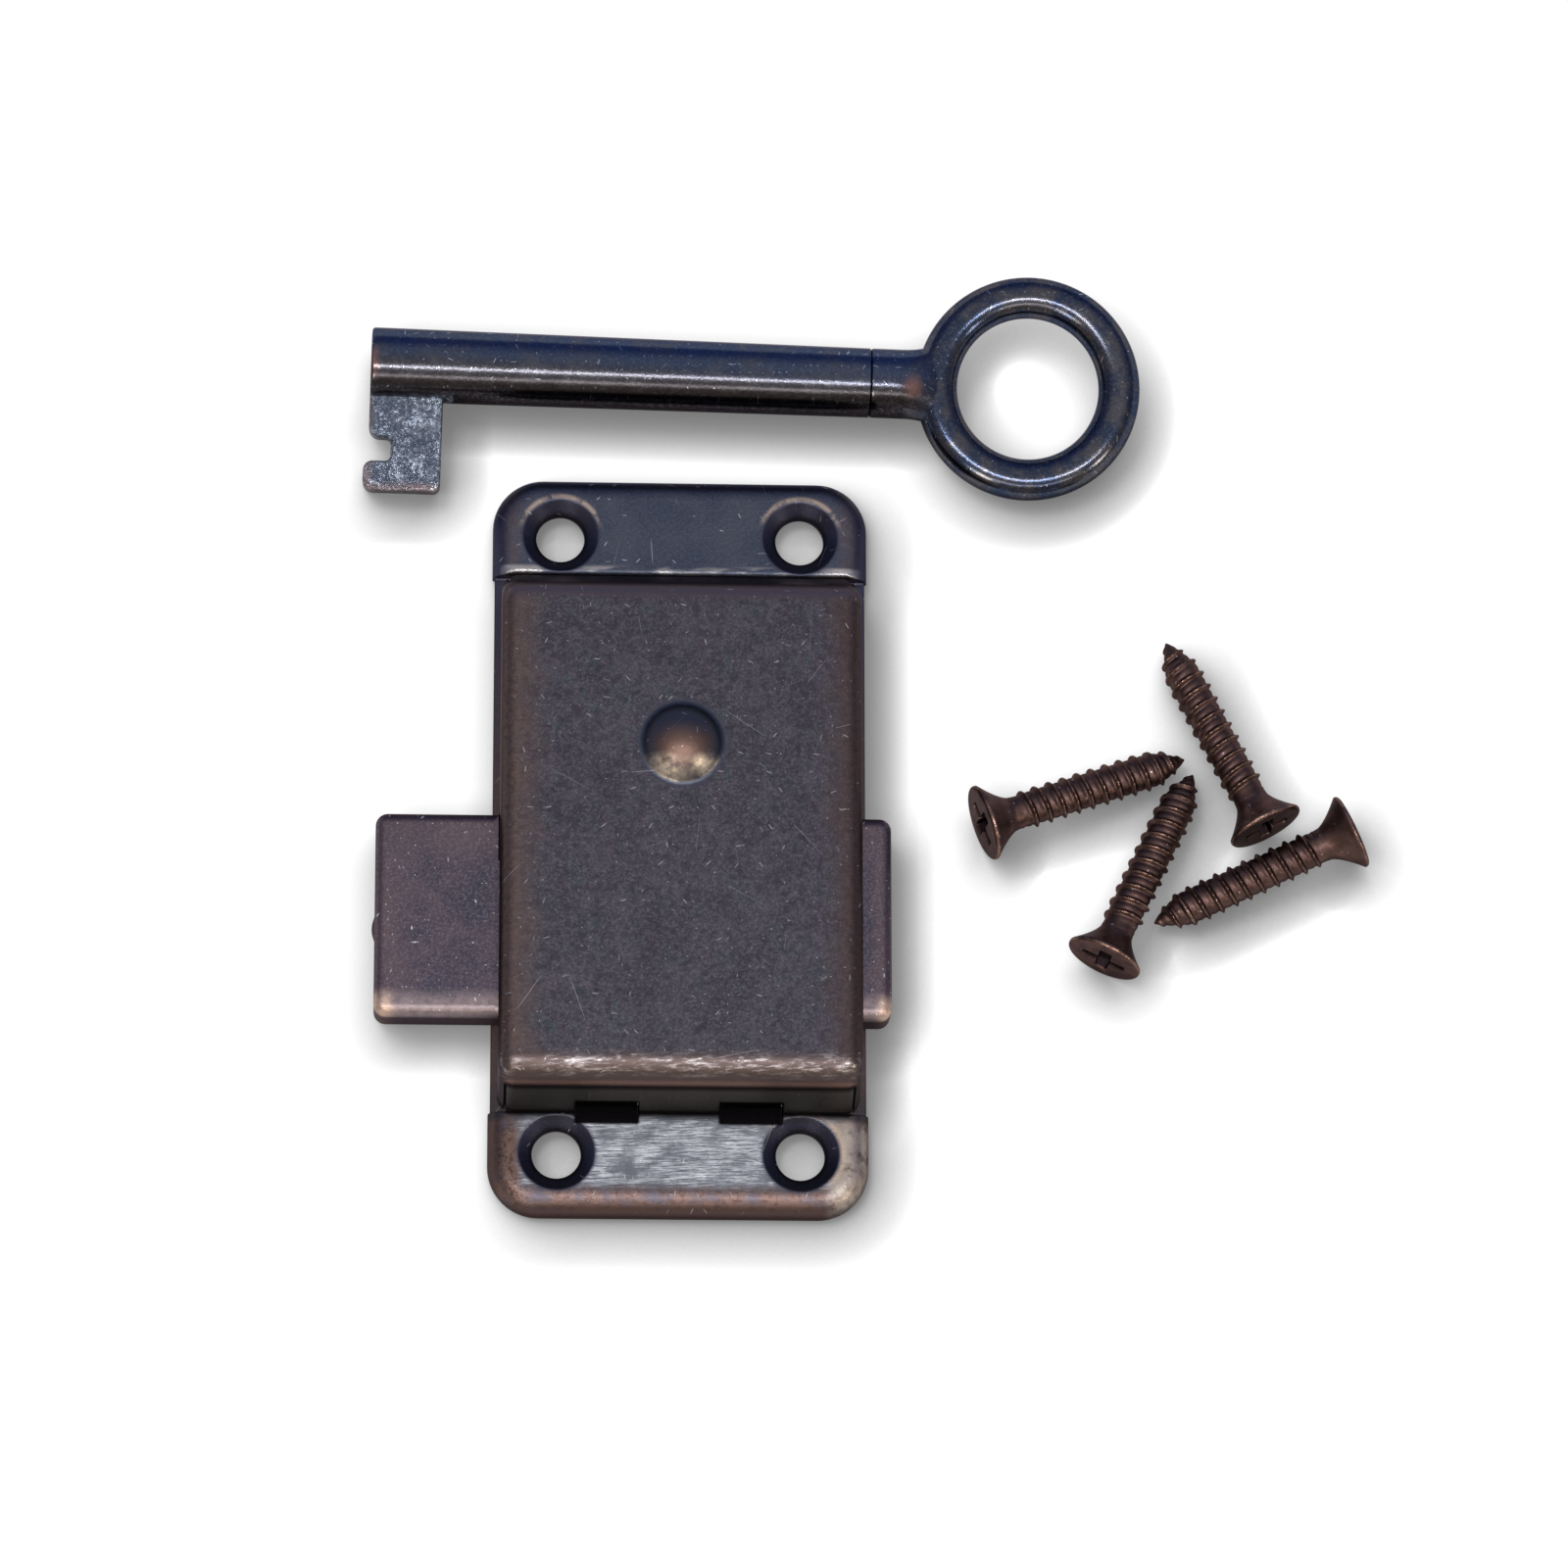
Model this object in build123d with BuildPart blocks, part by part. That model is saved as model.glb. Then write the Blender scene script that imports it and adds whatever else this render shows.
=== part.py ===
"""Surface-mounted cupboard or clock-door lock with its barrel key and four wood screws, in millimetres.

The origin is the centre of the lock's back face. +X is the way the bolt is drawn back, +Y runs along the
lock towards its keyhole end, and +Z points out of the door, towards the raised cap. The key and the screws
lie on the same surface as the lock.
"""

from build123d import *
from math import asin, atan2, cos, degrees, hypot, radians, sin
import os

os.makedirs("parts", exist_ok=True)

# Clearances
running_clearance = 0.1
seat_clearance = 0.05
sheet_gap = 0.1

# Mounting plate, pressed from one sheet with two raised ends
plate_width = 33.3
plate_length = 66.7
plate_corner_radius = 4.5
plate_sheet = 0.8
flange_length = 9.05
flange_height = 2.5
edge_roll_radius = 2.0
lip_radius = 0.4
waist_inset = 0.2

# Dimpled screw holes in the raised ends
screw_hole_radius = 2.15
countersink_radius = 3.35
countersink_angle = 90
dimple_top_radius = 3.6
dimple_foot_radius = 2.7
dimple_foot_z = 0.5
hole_inset_x = 6.0
hole_inset_y = 5.45

# Cap, folded from one sheet over the mechanism
cap_side_margin = 0.8
cap_sheet = 0.8
cap_top_z = 8.3
cap_end_slope = 0.4
cap_end_radius = 2.2
cap_side_radius = 1.5
corner_slit_width = 0.25
corner_slit_inset = 0.65
corner_slit_top_z = 5.8
tongue_width = 5.5
tongue_spacing = 12.6
tongue_window_z = 3.8
tongue_notch_depth = 1.0

# Dome over the drill pin
pin_axis_y = 7.45
dome_radius = 3.1
dome_height = 2.0
dome_fillet = 0.5

# Drill pin that the barrel of the key slips over
pin_radius = 1.5
pin_head_radius = 1.9
pin_head_length = 1.2
pin_flange_radius = 2.8
pin_flange_thickness = 0.4
pin_tip_z = 0.3
pin_tip_chamfer = 0.4

# Ring ward under the cap
ward_radius = 7.7
ward_wall = 1.2
ward_foot_z = 5.75

# Bolt
bolt_left_x = -26.7
bolt_length = 45.2
bolt_low_y = -16.45
bolt_width = 18.1
bolt_top_z = 5.5
bolt_lift = 0.3
bolt_corner_radius = 1.0
bolt_edge_radius = 1.0
bolt_throw = 5.7
talon_lip_radius = 10.1
talon_width = 7.0
bit_swing_clearance = 0.2
nub_y = -8.4
nub_length = 1.9
nub_reach = 0.25
nub_height = 2.2

# Shouldered studs that guide the bolt and stop it at both ends
stud_radius = 2.0
stud_tenon_radius = 1.2
stud_head_radius = 3.2
stud_head_thickness = 1.0
stud_spacing = 14.8
stud_y = -9.8

# Leaf spring on edge that holds the bolt thrown or drawn
leaf_thickness = 0.35
leaf_height = 3.0
leaf_peak_half_width = 1.9
leaf_peak_height = 1.8
leaf_shoulder_length = 3.5
leaf_bend_radius = 0.5
post_radius = 0.75
post_inset = 3.35
post_below_bolt = 1.65
detent_half_width = 1.2
detent_depth = 0.9

# Key
key_shank_length = 44.55
key_tip_radius = 3.3
key_neck_radius = 3.1
key_bore_radius = 1.65
key_bore_depth = 16.0
key_tip_chamfer = 0.25
bow_outer_radius = 10.05
bow_wire_radius = 1.85
bow_neck_length = 4.1
bow_root_height = 1.5
bow_root_spread = 3.9
bow_root_overlap = 0.3
bow_root_length = 1.9
tenon_radius = 1.6
tenon_length = 6.0
bit_reach = 11.4
bit_width = 6.5
bit_prong = 0.4
bit_thickness = 2.7
bit_let_in = 1.2
bit_corner_radius = 0.4
ward_cut_depth = 2.0
ward_cut_clearance = 0.45
keyhole_clearance = 0.12

# Wood screws, about three quarters of an inch long
screw_length = 19.5
screw_head_radius = 3.4
screw_head_land = 0.35
screw_head_depth = 2.9
screw_neck_radius = 1.45
screw_core_radius = 1.2
screw_thread_radius = 1.6
screw_thread_pitch = 1.35
screw_thread_base = 0.95
screw_plain_length = 3.9
screw_point_length = 2.9
recess_reach = 1.95
recess_wing_width = 0.85
recess_depth = 1.7
recess_taper = 8

# Where the loose pieces lie beside the lock
key_side_gap = 11.0
key_above_gap = 9.95
key_yaw = -1.4

# Each screw's head: how far out from the drawn bolt, how far up, and the way its point lies, in degrees
screw_1_out = 2.4
screw_1_up = 1.7
screw_1_heading = 19.8
screw_2_out = 27.6
screw_2_up = 1.55
screw_2_heading = 116.0
screw_3_out = 12.95
screw_3_up = -10.55
screw_3_heading = 64.3
screw_4_out = 35.3
screw_4_up = 1.45
screw_4_heading = 204.8


def write(piece, name):
    """Labels a finished piece and writes it under its own name."""
    piece.part.label = name
    export_step(piece.part, f"parts/{name}.step")


plate_half_width = plate_width / 2
plate_half_length = plate_length / 2
lip_reach = plate_half_length - flange_length
hole_spacing_x = plate_width - 2 * hole_inset_x
hole_spacing_y = plate_length - 2 * hole_inset_y
cap_width = plate_width - 2 * cap_side_margin
cap_half_width = cap_width / 2
post_spacing = cap_width - 2 * post_inset
post_y = bolt_low_y - post_below_bolt
bow_centre_distance = key_shank_length + bow_neck_length + bow_outer_radius
cap_foot_y = lip_reach - sheet_gap
cap_inner_z = cap_top_z - cap_sheet
cap_top_y = cap_foot_y - cap_end_slope * (cap_top_z - flange_height)
tongue_outer_y = cap_foot_y - cap_sheet - sheet_gap
tongue_inner_y = tongue_outer_y - cap_sheet
bolt_low_z = plate_sheet + bolt_lift
bolt_top_y = bolt_low_y + bolt_width
bolt_right_x = bolt_left_x + bolt_length
bit_swing_radius = hypot(bit_reach, bit_thickness / 2)

# Hollow under the two raised ends of the mounting plate
with BuildPart() as flange_hollow:
    with BuildSketch():
        RectangleRounded(
            plate_width - 2 * plate_sheet,
            plate_length - 2 * plate_sheet,
            plate_corner_radius - plate_sheet,
        )
    extrude(amount=flange_height - plate_sheet)
    fillet(
        flange_hollow.faces().sort_by(Axis.Z)[-1].edges(),
        edge_roll_radius - plate_sheet,
    )
    with BuildSketch():
        Rectangle(plate_width, 2 * (lip_reach + plate_sheet))
    extrude(amount=flange_height, mode=Mode.SUBTRACT)

# Mounting plate: rolled edges, raised ends, dimples, keyhole, tongue slots and rivet holes
with BuildPart() as base_plate:
    with BuildSketch():
        RectangleRounded(plate_width, plate_length, plate_corner_radius)
    extrude(amount=flange_height)
    fillet(base_plate.faces().sort_by(Axis.Z)[-1].edges(), edge_roll_radius)
    with BuildSketch(Plane.XY.offset(plate_sheet)):
        Rectangle(plate_width, 2 * lip_reach)
    extrude(amount=flange_height, mode=Mode.SUBTRACT)
    with BuildSketch():
        with Locations((plate_half_width, 0), (-plate_half_width, 0)):
            Rectangle(2 * waist_inset, 2 * lip_reach)
    extrude(amount=plate_sheet, mode=Mode.SUBTRACT)
    with BuildSketch(Plane.YZ.offset(-plate_half_width)):
        with Locations((lip_reach, flange_height), (-lip_reach, flange_height)):
            Rectangle(2 * lip_radius, 2 * lip_radius)
        lip_centre_y = lip_reach + lip_radius
        lip_centre_z = flange_height - lip_radius
        with Locations((lip_centre_y, lip_centre_z), (-lip_centre_y, lip_centre_z)):
            Circle(lip_radius, mode=Mode.SUBTRACT)
    extrude(amount=plate_width, mode=Mode.SUBTRACT)
    add(flange_hollow.part, mode=Mode.SUBTRACT)
    dimple_height = flange_height - plate_sheet - dimple_foot_z
    with GridLocations(hole_spacing_x, hole_spacing_y, 2, 2):
        with Locations((0, 0, dimple_foot_z)):
            Cone(
                dimple_foot_radius,
                dimple_top_radius,
                dimple_height,
                align=(Align.CENTER, Align.CENTER, Align.MIN),
            )
        with Locations((0, 0, flange_height)):
            CounterSinkHole(
                screw_hole_radius,
                countersink_radius,
                depth=flange_height,
                counter_sink_angle=countersink_angle,
            )
    with BuildSketch():
        with Locations((0, pin_axis_y)):
            Circle(key_tip_radius + keyhole_clearance)
        with Locations((0, pin_axis_y)):
            Rectangle(
                bit_thickness + 2 * keyhole_clearance,
                bit_reach + 2 * keyhole_clearance,
                align=(Align.CENTER, Align.MIN),
            )
        with GridLocations(stud_spacing, 0, 2, 1):
            with Locations((0, stud_y)):
                Circle(stud_tenon_radius)
        with GridLocations(post_spacing, 0, 2, 1):
            with Locations((0, post_y)):
                Circle(post_radius)
        with GridLocations(tongue_spacing, tongue_outer_y + tongue_inner_y, 2, 2):
            Rectangle(tongue_width + 2 * seat_clearance, cap_sheet + 2 * seat_clearance)
    extrude(amount=plate_sheet, mode=Mode.SUBTRACT)
    with BuildSketch(Plane.XY.offset(plate_sheet)):
        with GridLocations(tongue_spacing, 0, 2, 1):
            with Locations((0, -lip_reach)):
                Rectangle(
                    tongue_width,
                    tongue_notch_depth,
                    align=(Align.CENTER, Align.MAX),
                )
    extrude(amount=flange_height, mode=Mode.SUBTRACT)
write(base_plate, "base_plate")

# Cap: folded box with sloping ends, bolt windows, corner slits, a dome and four joggled tongues
with BuildPart() as case_cap:
    with BuildSketch(Plane.YZ.offset(-cap_half_width)):
        with BuildLine():
            Polyline(
                (-cap_foot_y, plate_sheet),
                (-cap_foot_y, flange_height),
                (-cap_top_y, cap_top_z),
                (cap_top_y, cap_top_z),
                (cap_foot_y, flange_height),
                (cap_foot_y, plate_sheet),
                close=True,
            )
        make_face()
    extrude(amount=cap_width)
    end_edges = case_cap.edges().filter_by(Axis.X).group_by(Axis.Z)[-1]
    fillet(end_edges, cap_end_radius)
    side_faces = case_cap.faces().filter_by(Axis.X)
    rim_edges = [
        edge
        for edge in side_faces.edges()
        if edge.center().Z > flange_height
    ]
    fillet(rim_edges, cap_side_radius)
    offset(amount=-cap_sheet, openings=case_cap.faces().sort_by(Axis.Z)[0])
    dome_sphere_radius = (dome_radius**2 + dome_height**2) / (2 * dome_height)
    with BuildSketch(Plane.XZ.offset(-pin_axis_y)):
        with BuildLine():
            l1 = Line((0, cap_inner_z), (0, cap_top_z + dome_height))
            l2 = RadiusArc(
                l1 @ 1,
                (dome_radius, cap_top_z),
                dome_sphere_radius,
            )
            l3 = Polyline(l2 @ 1, (dome_radius, cap_inner_z), l1 @ 0)
        make_face()
    revolve(axis=Axis((0, pin_axis_y, 0), (0, 0, 1)))
    dome_foot = (
        case_cap.edges()
        .filter_by(GeomType.CIRCLE)
        .filter_by_position(Axis.Z, cap_top_z - seat_clearance, cap_top_z + seat_clearance)
        .sort_by(Edge.length)[-1]
    )
    fillet(dome_foot, dome_fillet)
    with BuildSketch(Plane.XY.offset(cap_inner_z)):
        with Locations((0, pin_axis_y)):
            Circle(pin_head_radius + seat_clearance)
    extrude(amount=pin_head_length + seat_clearance, mode=Mode.SUBTRACT)
    with BuildSketch(Plane.YZ.offset(-cap_half_width)):
        with Locations((bolt_low_y + bolt_width / 2, plate_sheet)):
            Rectangle(
                bolt_width + 2 * running_clearance,
                bolt_top_z - plate_sheet + 2 * running_clearance,
                align=(Align.CENTER, Align.MIN),
            )
    extrude(amount=cap_width, mode=Mode.SUBTRACT)
    slit_y = cap_foot_y - cap_end_slope * (corner_slit_top_z - flange_height)
    with BuildSketch(Plane.XY.offset(plate_sheet)):
        slit_spacing_y = slit_y + cap_foot_y - cap_sheet
        with GridLocations(2 * (cap_half_width - corner_slit_inset), slit_spacing_y, 2, 2):
            Rectangle(corner_slit_width, cap_foot_y - slit_y + 3 * cap_sheet)
    extrude(amount=corner_slit_top_z - plate_sheet, mode=Mode.SUBTRACT)
    with BuildSketch(Plane.XY.offset(plate_sheet)):
        with GridLocations(tongue_spacing, 0, 2, 1):
            with Locations((0, -cap_foot_y)):
                Rectangle(
                    tongue_width,
                    3 * cap_sheet,
                    align=(Align.CENTER, Align.MIN),
                )
    extrude(amount=tongue_window_z - plate_sheet, mode=Mode.SUBTRACT)
    tongue_top_z = flange_height + (cap_foot_y - tongue_outer_y) / cap_end_slope
    with BuildSketch():
        with GridLocations(tongue_spacing, tongue_outer_y + tongue_inner_y, 2, 2):
            Rectangle(tongue_width, cap_sheet)
    extrude(amount=tongue_top_z)
write(case_cap, "case_cap")

# Drill pin, its head seated in the dome and its flange under the cap
with BuildPart() as drill_pin:
    with BuildSketch(Plane.XY.offset(pin_tip_z)):
        with Locations((0, pin_axis_y)):
            Circle(pin_radius)
    extrude(amount=cap_inner_z - pin_tip_z)
    chamfer(drill_pin.edges().group_by(Axis.Z)[0], pin_tip_chamfer)
    with BuildSketch(Plane.XY.offset(cap_inner_z)):
        with Locations((0, pin_axis_y)):
            Circle(pin_head_radius)
    extrude(amount=pin_head_length)
    with BuildSketch(Plane.XY.offset(cap_inner_z)):
        with Locations((0, pin_axis_y)):
            Circle(pin_flange_radius)
    extrude(amount=-pin_flange_thickness)
write(drill_pin, "drill_pin")

# Ring ward, spot-fixed under the cap round the drill pin
with BuildPart() as ring_ward:
    with BuildSketch(Plane.XY.offset(ward_foot_z)):
        with Locations((0, pin_axis_y)):
            Circle(ward_radius + ward_wall / 2)
            Circle(ward_radius - ward_wall / 2, mode=Mode.SUBTRACT)
    extrude(amount=cap_inner_z - ward_foot_z)
write(ring_ward, "ring_ward")

# Bolt: one thick bar with a recess for the swinging bit, a talon notch, guide slots and detent notches
swing_half_chord = bit_swing_radius * cos(asin((pin_axis_y - bolt_top_y) / bit_swing_radius))
recess_right_x = swing_half_chord + bit_swing_clearance
recess_left_x = -recess_right_x - bolt_throw
talon_lip_y = pin_axis_y - talon_lip_radius
talon_floor_y = pin_axis_y - bit_swing_radius - bit_swing_clearance
bolt_height = bolt_top_z - bolt_low_z
nub_circle_radius = ((nub_length / 2) ** 2 + nub_reach**2) / (2 * nub_reach)
with BuildPart() as bolt:
    with BuildSketch(Plane.XY.offset(bolt_low_z)):
        with Locations((bolt_left_x + bolt_length / 2, bolt_low_y + bolt_width / 2)):
            RectangleRounded(bolt_length, bolt_width, bolt_corner_radius)
    extrude(amount=bolt_height)
    fillet(bolt.faces().sort_by(Axis.Z)[-1].edges(), bolt_edge_radius)
    with BuildSketch(Plane.XY.offset(bolt_low_z)):
        with Locations((recess_left_x, talon_lip_y)):
            Rectangle(
                recess_right_x - recess_left_x,
                bolt_width,
                align=(Align.MIN, Align.MIN),
            )
        with Locations((-bolt_throw / 2, talon_floor_y)):
            Rectangle(talon_width, bolt_width, align=(Align.CENTER, Align.MIN))
        with GridLocations(stud_spacing, 0, 2, 1):
            with Locations((-bolt_throw / 2, stud_y)):
                SlotOverall(
                    bolt_throw + 2 * stud_radius + 2 * running_clearance,
                    2 * stud_radius + 2 * running_clearance,
                )
        with Locations((0, bolt_low_y), (-bolt_throw, bolt_low_y)):
            Polygon(
                (-detent_half_width, 0),
                (detent_half_width, 0),
                (0, detent_depth),
                align=None,
            )
    extrude(amount=bolt_height, mode=Mode.SUBTRACT)
    with BuildSketch(Plane.XY.offset(bolt_low_z + (bolt_height - nub_height) / 2)):
        with Locations((bolt_left_x - nub_reach + nub_circle_radius, nub_y)):
            Circle(nub_circle_radius)
        with Locations((bolt_left_x, nub_y)):
            Rectangle(
                2 * nub_reach,
                nub_length,
                mode=Mode.INTERSECT,
            )
    extrude(amount=nub_height)
write(bolt, "bolt")


def guide_stud(x):
    """Shouldered rivet: tenon in the plate, shank in the bolt's slot and a head over the bolt."""
    with BuildPart() as stud:
        with BuildSketch():
            with Locations((x, stud_y)):
                Circle(stud_tenon_radius)
        extrude(amount=plate_sheet)
        with BuildSketch(Plane.XY.offset(plate_sheet)):
            with Locations((x, stud_y)):
                Circle(stud_radius)
        extrude(amount=bolt_top_z + running_clearance - plate_sheet)
        with BuildSketch(Plane.XY.offset(bolt_top_z + running_clearance)):
            with Locations((x, stud_y)):
                Circle(stud_head_radius)
        extrude(amount=stud_head_thickness)
        chamfer(stud.edges().group_by(Axis.Z)[-1], stud_head_thickness / 3)
    return stud


write(guide_stud(-stud_spacing / 2), "bolt_stud_left")
write(guide_stud(stud_spacing / 2), "bolt_stud_right")

# Leaf spring: one strip standing on edge, an eye round each post and a peak in the bolt's detent notch
eye_radius = post_radius + seat_clearance + leaf_thickness / 2
leaf_shoulder_y = post_y + eye_radius
leaf_peak_y = bolt_low_y + detent_depth - leaf_thickness - seat_clearance
leaf_foot_y = leaf_peak_y - leaf_peak_height
with BuildPart() as detent_spring:
    with BuildSketch(Plane.XY.offset(bolt_low_z)):
        with BuildLine():
            CenterArc((-post_spacing / 2, post_y), eye_radius, 90, 250)
            FilletPolyline(
                (-post_spacing / 2, leaf_shoulder_y),
                (-post_spacing / 2 + leaf_shoulder_length, leaf_shoulder_y),
                (-leaf_peak_half_width, leaf_foot_y),
                (0, leaf_peak_y),
                (leaf_peak_half_width, leaf_foot_y),
                (post_spacing / 2 - leaf_shoulder_length, leaf_shoulder_y),
                (post_spacing / 2, leaf_shoulder_y),
                radius=leaf_bend_radius,
            )
            CenterArc((post_spacing / 2, post_y), eye_radius, 90, -250)
        trace(line_width=leaf_thickness)
    extrude(amount=leaf_height)
write(detent_spring, "detent_spring")


def spring_post(x):
    """Plain post riveted in the plate, inside one eye of the leaf spring."""
    with BuildPart() as post:
        with BuildSketch():
            with Locations((x, post_y)):
                Circle(post_radius)
        extrude(amount=bolt_low_z + leaf_height + seat_clearance)
        chamfer(post.edges().group_by(Axis.Z)[-1], post_radius / 3)
    return post


write(spring_post(-post_spacing / 2), "spring_post_left")
write(spring_post(post_spacing / 2), "spring_post_right")

# The key lies rolled about its axis until a corner of its bit meets the surface
key_roll = degrees(
    asin(key_tip_radius / bit_swing_radius) - asin(bit_thickness / 2 / bit_swing_radius)
)
key_plane = Plane(
    origin=(
        -plate_half_width - key_side_gap,
        plate_half_length + key_above_gap,
        key_tip_radius,
    )
).rotated((key_roll, 0, 0))
key_plane = Plane(
    origin=key_plane.origin,
    x_dir=Vector(1, 0, 0).rotate(Axis.Z, key_yaw),
    z_dir=key_plane.z_dir.rotate(Axis.Z, key_yaw),
)
key_axis = Axis(key_plane.origin, key_plane.x_dir)
bit_root = key_tip_radius - bit_let_in


def key_section(distance):
    """Plane across the key's axis, at a distance from its tip, with x along the bit's direction."""
    return Plane(
        origin=key_plane.origin + key_plane.x_dir * distance,
        x_dir=key_plane.y_dir,
        z_dir=key_plane.x_dir,
    )


# Shank: tapered tube, drilled for the drill pin and for the bow's tenon, and slotted for the bit
with BuildPart() as key_shank:
    with BuildSketch(key_plane):
        with BuildLine():
            Polyline(
                (0, key_bore_radius),
                (0, key_tip_radius - key_tip_chamfer),
                (key_tip_chamfer, key_tip_radius),
                (key_shank_length, key_neck_radius),
                (key_shank_length, tenon_radius + seat_clearance),
                (key_shank_length - tenon_length - seat_clearance, tenon_radius + seat_clearance),
                (key_shank_length - tenon_length - seat_clearance, 0),
                (key_bore_depth, 0),
                (key_bore_depth, key_bore_radius),
                close=True,
            )
        make_face()
    revolve(axis=key_axis)
    with BuildSketch(key_plane):
        with Locations((0, -bit_root)):
            Rectangle(bit_width, 2 * bit_let_in, align=(Align.MIN, Align.MAX))
    extrude(amount=bit_thickness / 2, both=True, mode=Mode.SUBTRACT)
write(key_shank, "key_shank")

# Bit: flat plate let into the shank, with one ward cut in the edge that goes in first
ward_cut_low = ward_radius - ward_wall / 2 - ward_cut_clearance
ward_cut_high = ward_radius + ward_wall / 2 + ward_cut_clearance
with BuildPart() as key_bit:
    with BuildSketch(key_plane):
        with BuildLine():
            Polyline(
                (0, -bit_root),
                (bit_width, -bit_root),
                (bit_width, -bit_reach),
                (-bit_prong, -bit_reach),
                (-bit_prong, -ward_cut_high),
                (ward_cut_depth, -ward_cut_high),
                (ward_cut_depth, -ward_cut_low),
                (0, -ward_cut_low),
                close=True,
            )
        make_face()
    extrude(amount=bit_thickness / 2, both=True)
    outer_corners = [
        edge
        for edge in key_bit.edges().filter_by(Axis(key_plane.origin, key_plane.z_dir))
        if key_plane.to_local_coords(edge.center()).Y < -key_tip_radius
    ]
    fillet(outer_corners, bit_corner_radius)
write(key_bit, "key_bit")

# Bow: one forging with a ring, a neck that flares into it and a tenon for the shank
bow_root_start = bow_centre_distance - bow_outer_radius + bow_root_overlap
with BuildPart() as key_bow:
    with BuildSketch(key_section(key_shank_length)):
        Circle(key_neck_radius)
    extrude(amount=bow_root_start - key_shank_length)
    with BuildSketch(key_section(bow_root_start)):
        Circle(key_neck_radius)
    with BuildSketch(key_section(bow_root_start + bow_root_length)):
        Ellipse(bow_root_spread, bow_root_height)
    loft()
    with BuildSketch(key_section(key_shank_length - tenon_length)):
        Circle(tenon_radius)
    extrude(amount=tenon_length)
    ring_plane = Plane(
        origin=key_plane.origin + key_plane.x_dir * bow_centre_distance,
        x_dir=key_plane.x_dir,
        z_dir=key_plane.y_dir,
    )
    with BuildSketch(ring_plane):
        with Locations((bow_outer_radius - bow_wire_radius, 0)):
            Circle(bow_wire_radius)
    revolve(axis=Axis(ring_plane.origin, key_plane.z_dir))
write(key_bow, "key_bow")


def thread_starts():
    """Where each ridge of the thread begins, along the shank from the head face."""
    starts = []
    thread_at = screw_plain_length
    while thread_at + screw_thread_base < screw_length - screw_point_length:
        starts.append(thread_at)
        thread_at += screw_thread_pitch
    return starts


def screw_plane(out, up, heading):
    """Plane on a lying screw's head face, its z along the shank: the rim and the last ridge touch."""
    last_ridge = thread_starts()[-1] + screw_thread_base / 2
    dip = atan2(screw_head_radius - screw_thread_radius, last_ridge - screw_head_land)
    ahead = radians(heading)
    return Plane(
        origin=(
            bolt_right_x + bolt_throw + out,
            up,
            screw_head_radius * cos(dip) + screw_head_land * sin(dip),
        ),
        x_dir=(-sin(ahead), cos(ahead), 0),
        z_dir=(cos(ahead) * cos(dip), sin(ahead) * cos(dip), -sin(dip)),
    )


def screw_outline():
    """Half section from the head face to the point, as distance from the axis and along it."""
    points = [
        (0, 0),
        (screw_head_radius - screw_head_land / 2, 0),
        (screw_head_radius, screw_head_land / 2),
        (screw_head_radius, screw_head_land),
        (screw_neck_radius, screw_head_depth),
        (screw_neck_radius, screw_plain_length),
    ]
    for thread_at in thread_starts():
        points += [
            (screw_core_radius, thread_at),
            (screw_thread_radius, thread_at + screw_thread_base / 2),
            (screw_core_radius, thread_at + screw_thread_base),
        ]
    point_start = screw_length - screw_point_length
    return points + [(screw_core_radius, point_start), (0, screw_length)]


def wood_screw(out, up, heading):
    """Countersunk wood screw with a cross recess, its thread drawn as separate ridges."""
    face = screw_plane(out, up, heading)
    side = Plane(origin=face.origin, x_dir=face.x_dir, z_dir=face.y_dir * -1)
    with BuildPart() as screw:
        with BuildSketch(side):
            with BuildLine():
                Polyline(*screw_outline(), close=True)
            make_face()
        revolve(axis=Axis(face.origin, face.z_dir))
        with BuildSketch(face):
            Rectangle(2 * recess_reach, recess_wing_width)
            Rectangle(recess_wing_width, 2 * recess_reach)
        extrude(amount=recess_depth, taper=recess_taper, mode=Mode.SUBTRACT)
    return screw


write(wood_screw(screw_1_out, screw_1_up, screw_1_heading), "screw_1")
write(wood_screw(screw_2_out, screw_2_up, screw_2_heading), "screw_2")
write(wood_screw(screw_3_out, screw_3_up, screw_3_heading), "screw_3")
write(wood_screw(screw_4_out, screw_4_up, screw_4_heading), "screw_4")
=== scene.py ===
"""Looks of a small surface-mounted lock for a clock or cupboard door, with its key and four wood screws.

The pieces come in the order in which the lock is put together. Lengths are in millimetres, and MM carries
them into Blender's metres. The lock lies on its back, with its raised cap towards +Z.
"""

from math import asin, atan2, cos, hypot, pi, radians, sin

import bmesh
import bpy
import numpy as np
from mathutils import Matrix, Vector
from mathutils.geometry import delaunay_2d_cdt


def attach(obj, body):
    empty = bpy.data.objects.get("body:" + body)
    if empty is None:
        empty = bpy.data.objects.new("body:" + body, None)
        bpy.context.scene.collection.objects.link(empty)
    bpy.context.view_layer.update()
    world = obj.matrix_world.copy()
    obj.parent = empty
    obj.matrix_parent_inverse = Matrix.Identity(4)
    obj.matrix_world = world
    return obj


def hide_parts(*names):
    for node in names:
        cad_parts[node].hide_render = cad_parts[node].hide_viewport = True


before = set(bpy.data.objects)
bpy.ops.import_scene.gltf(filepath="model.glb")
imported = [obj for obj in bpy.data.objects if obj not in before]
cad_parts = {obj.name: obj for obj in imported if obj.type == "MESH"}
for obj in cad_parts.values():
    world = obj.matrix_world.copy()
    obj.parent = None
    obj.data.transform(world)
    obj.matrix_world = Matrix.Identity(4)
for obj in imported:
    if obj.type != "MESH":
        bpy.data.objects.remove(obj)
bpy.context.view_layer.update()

MM = 0.001

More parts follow.
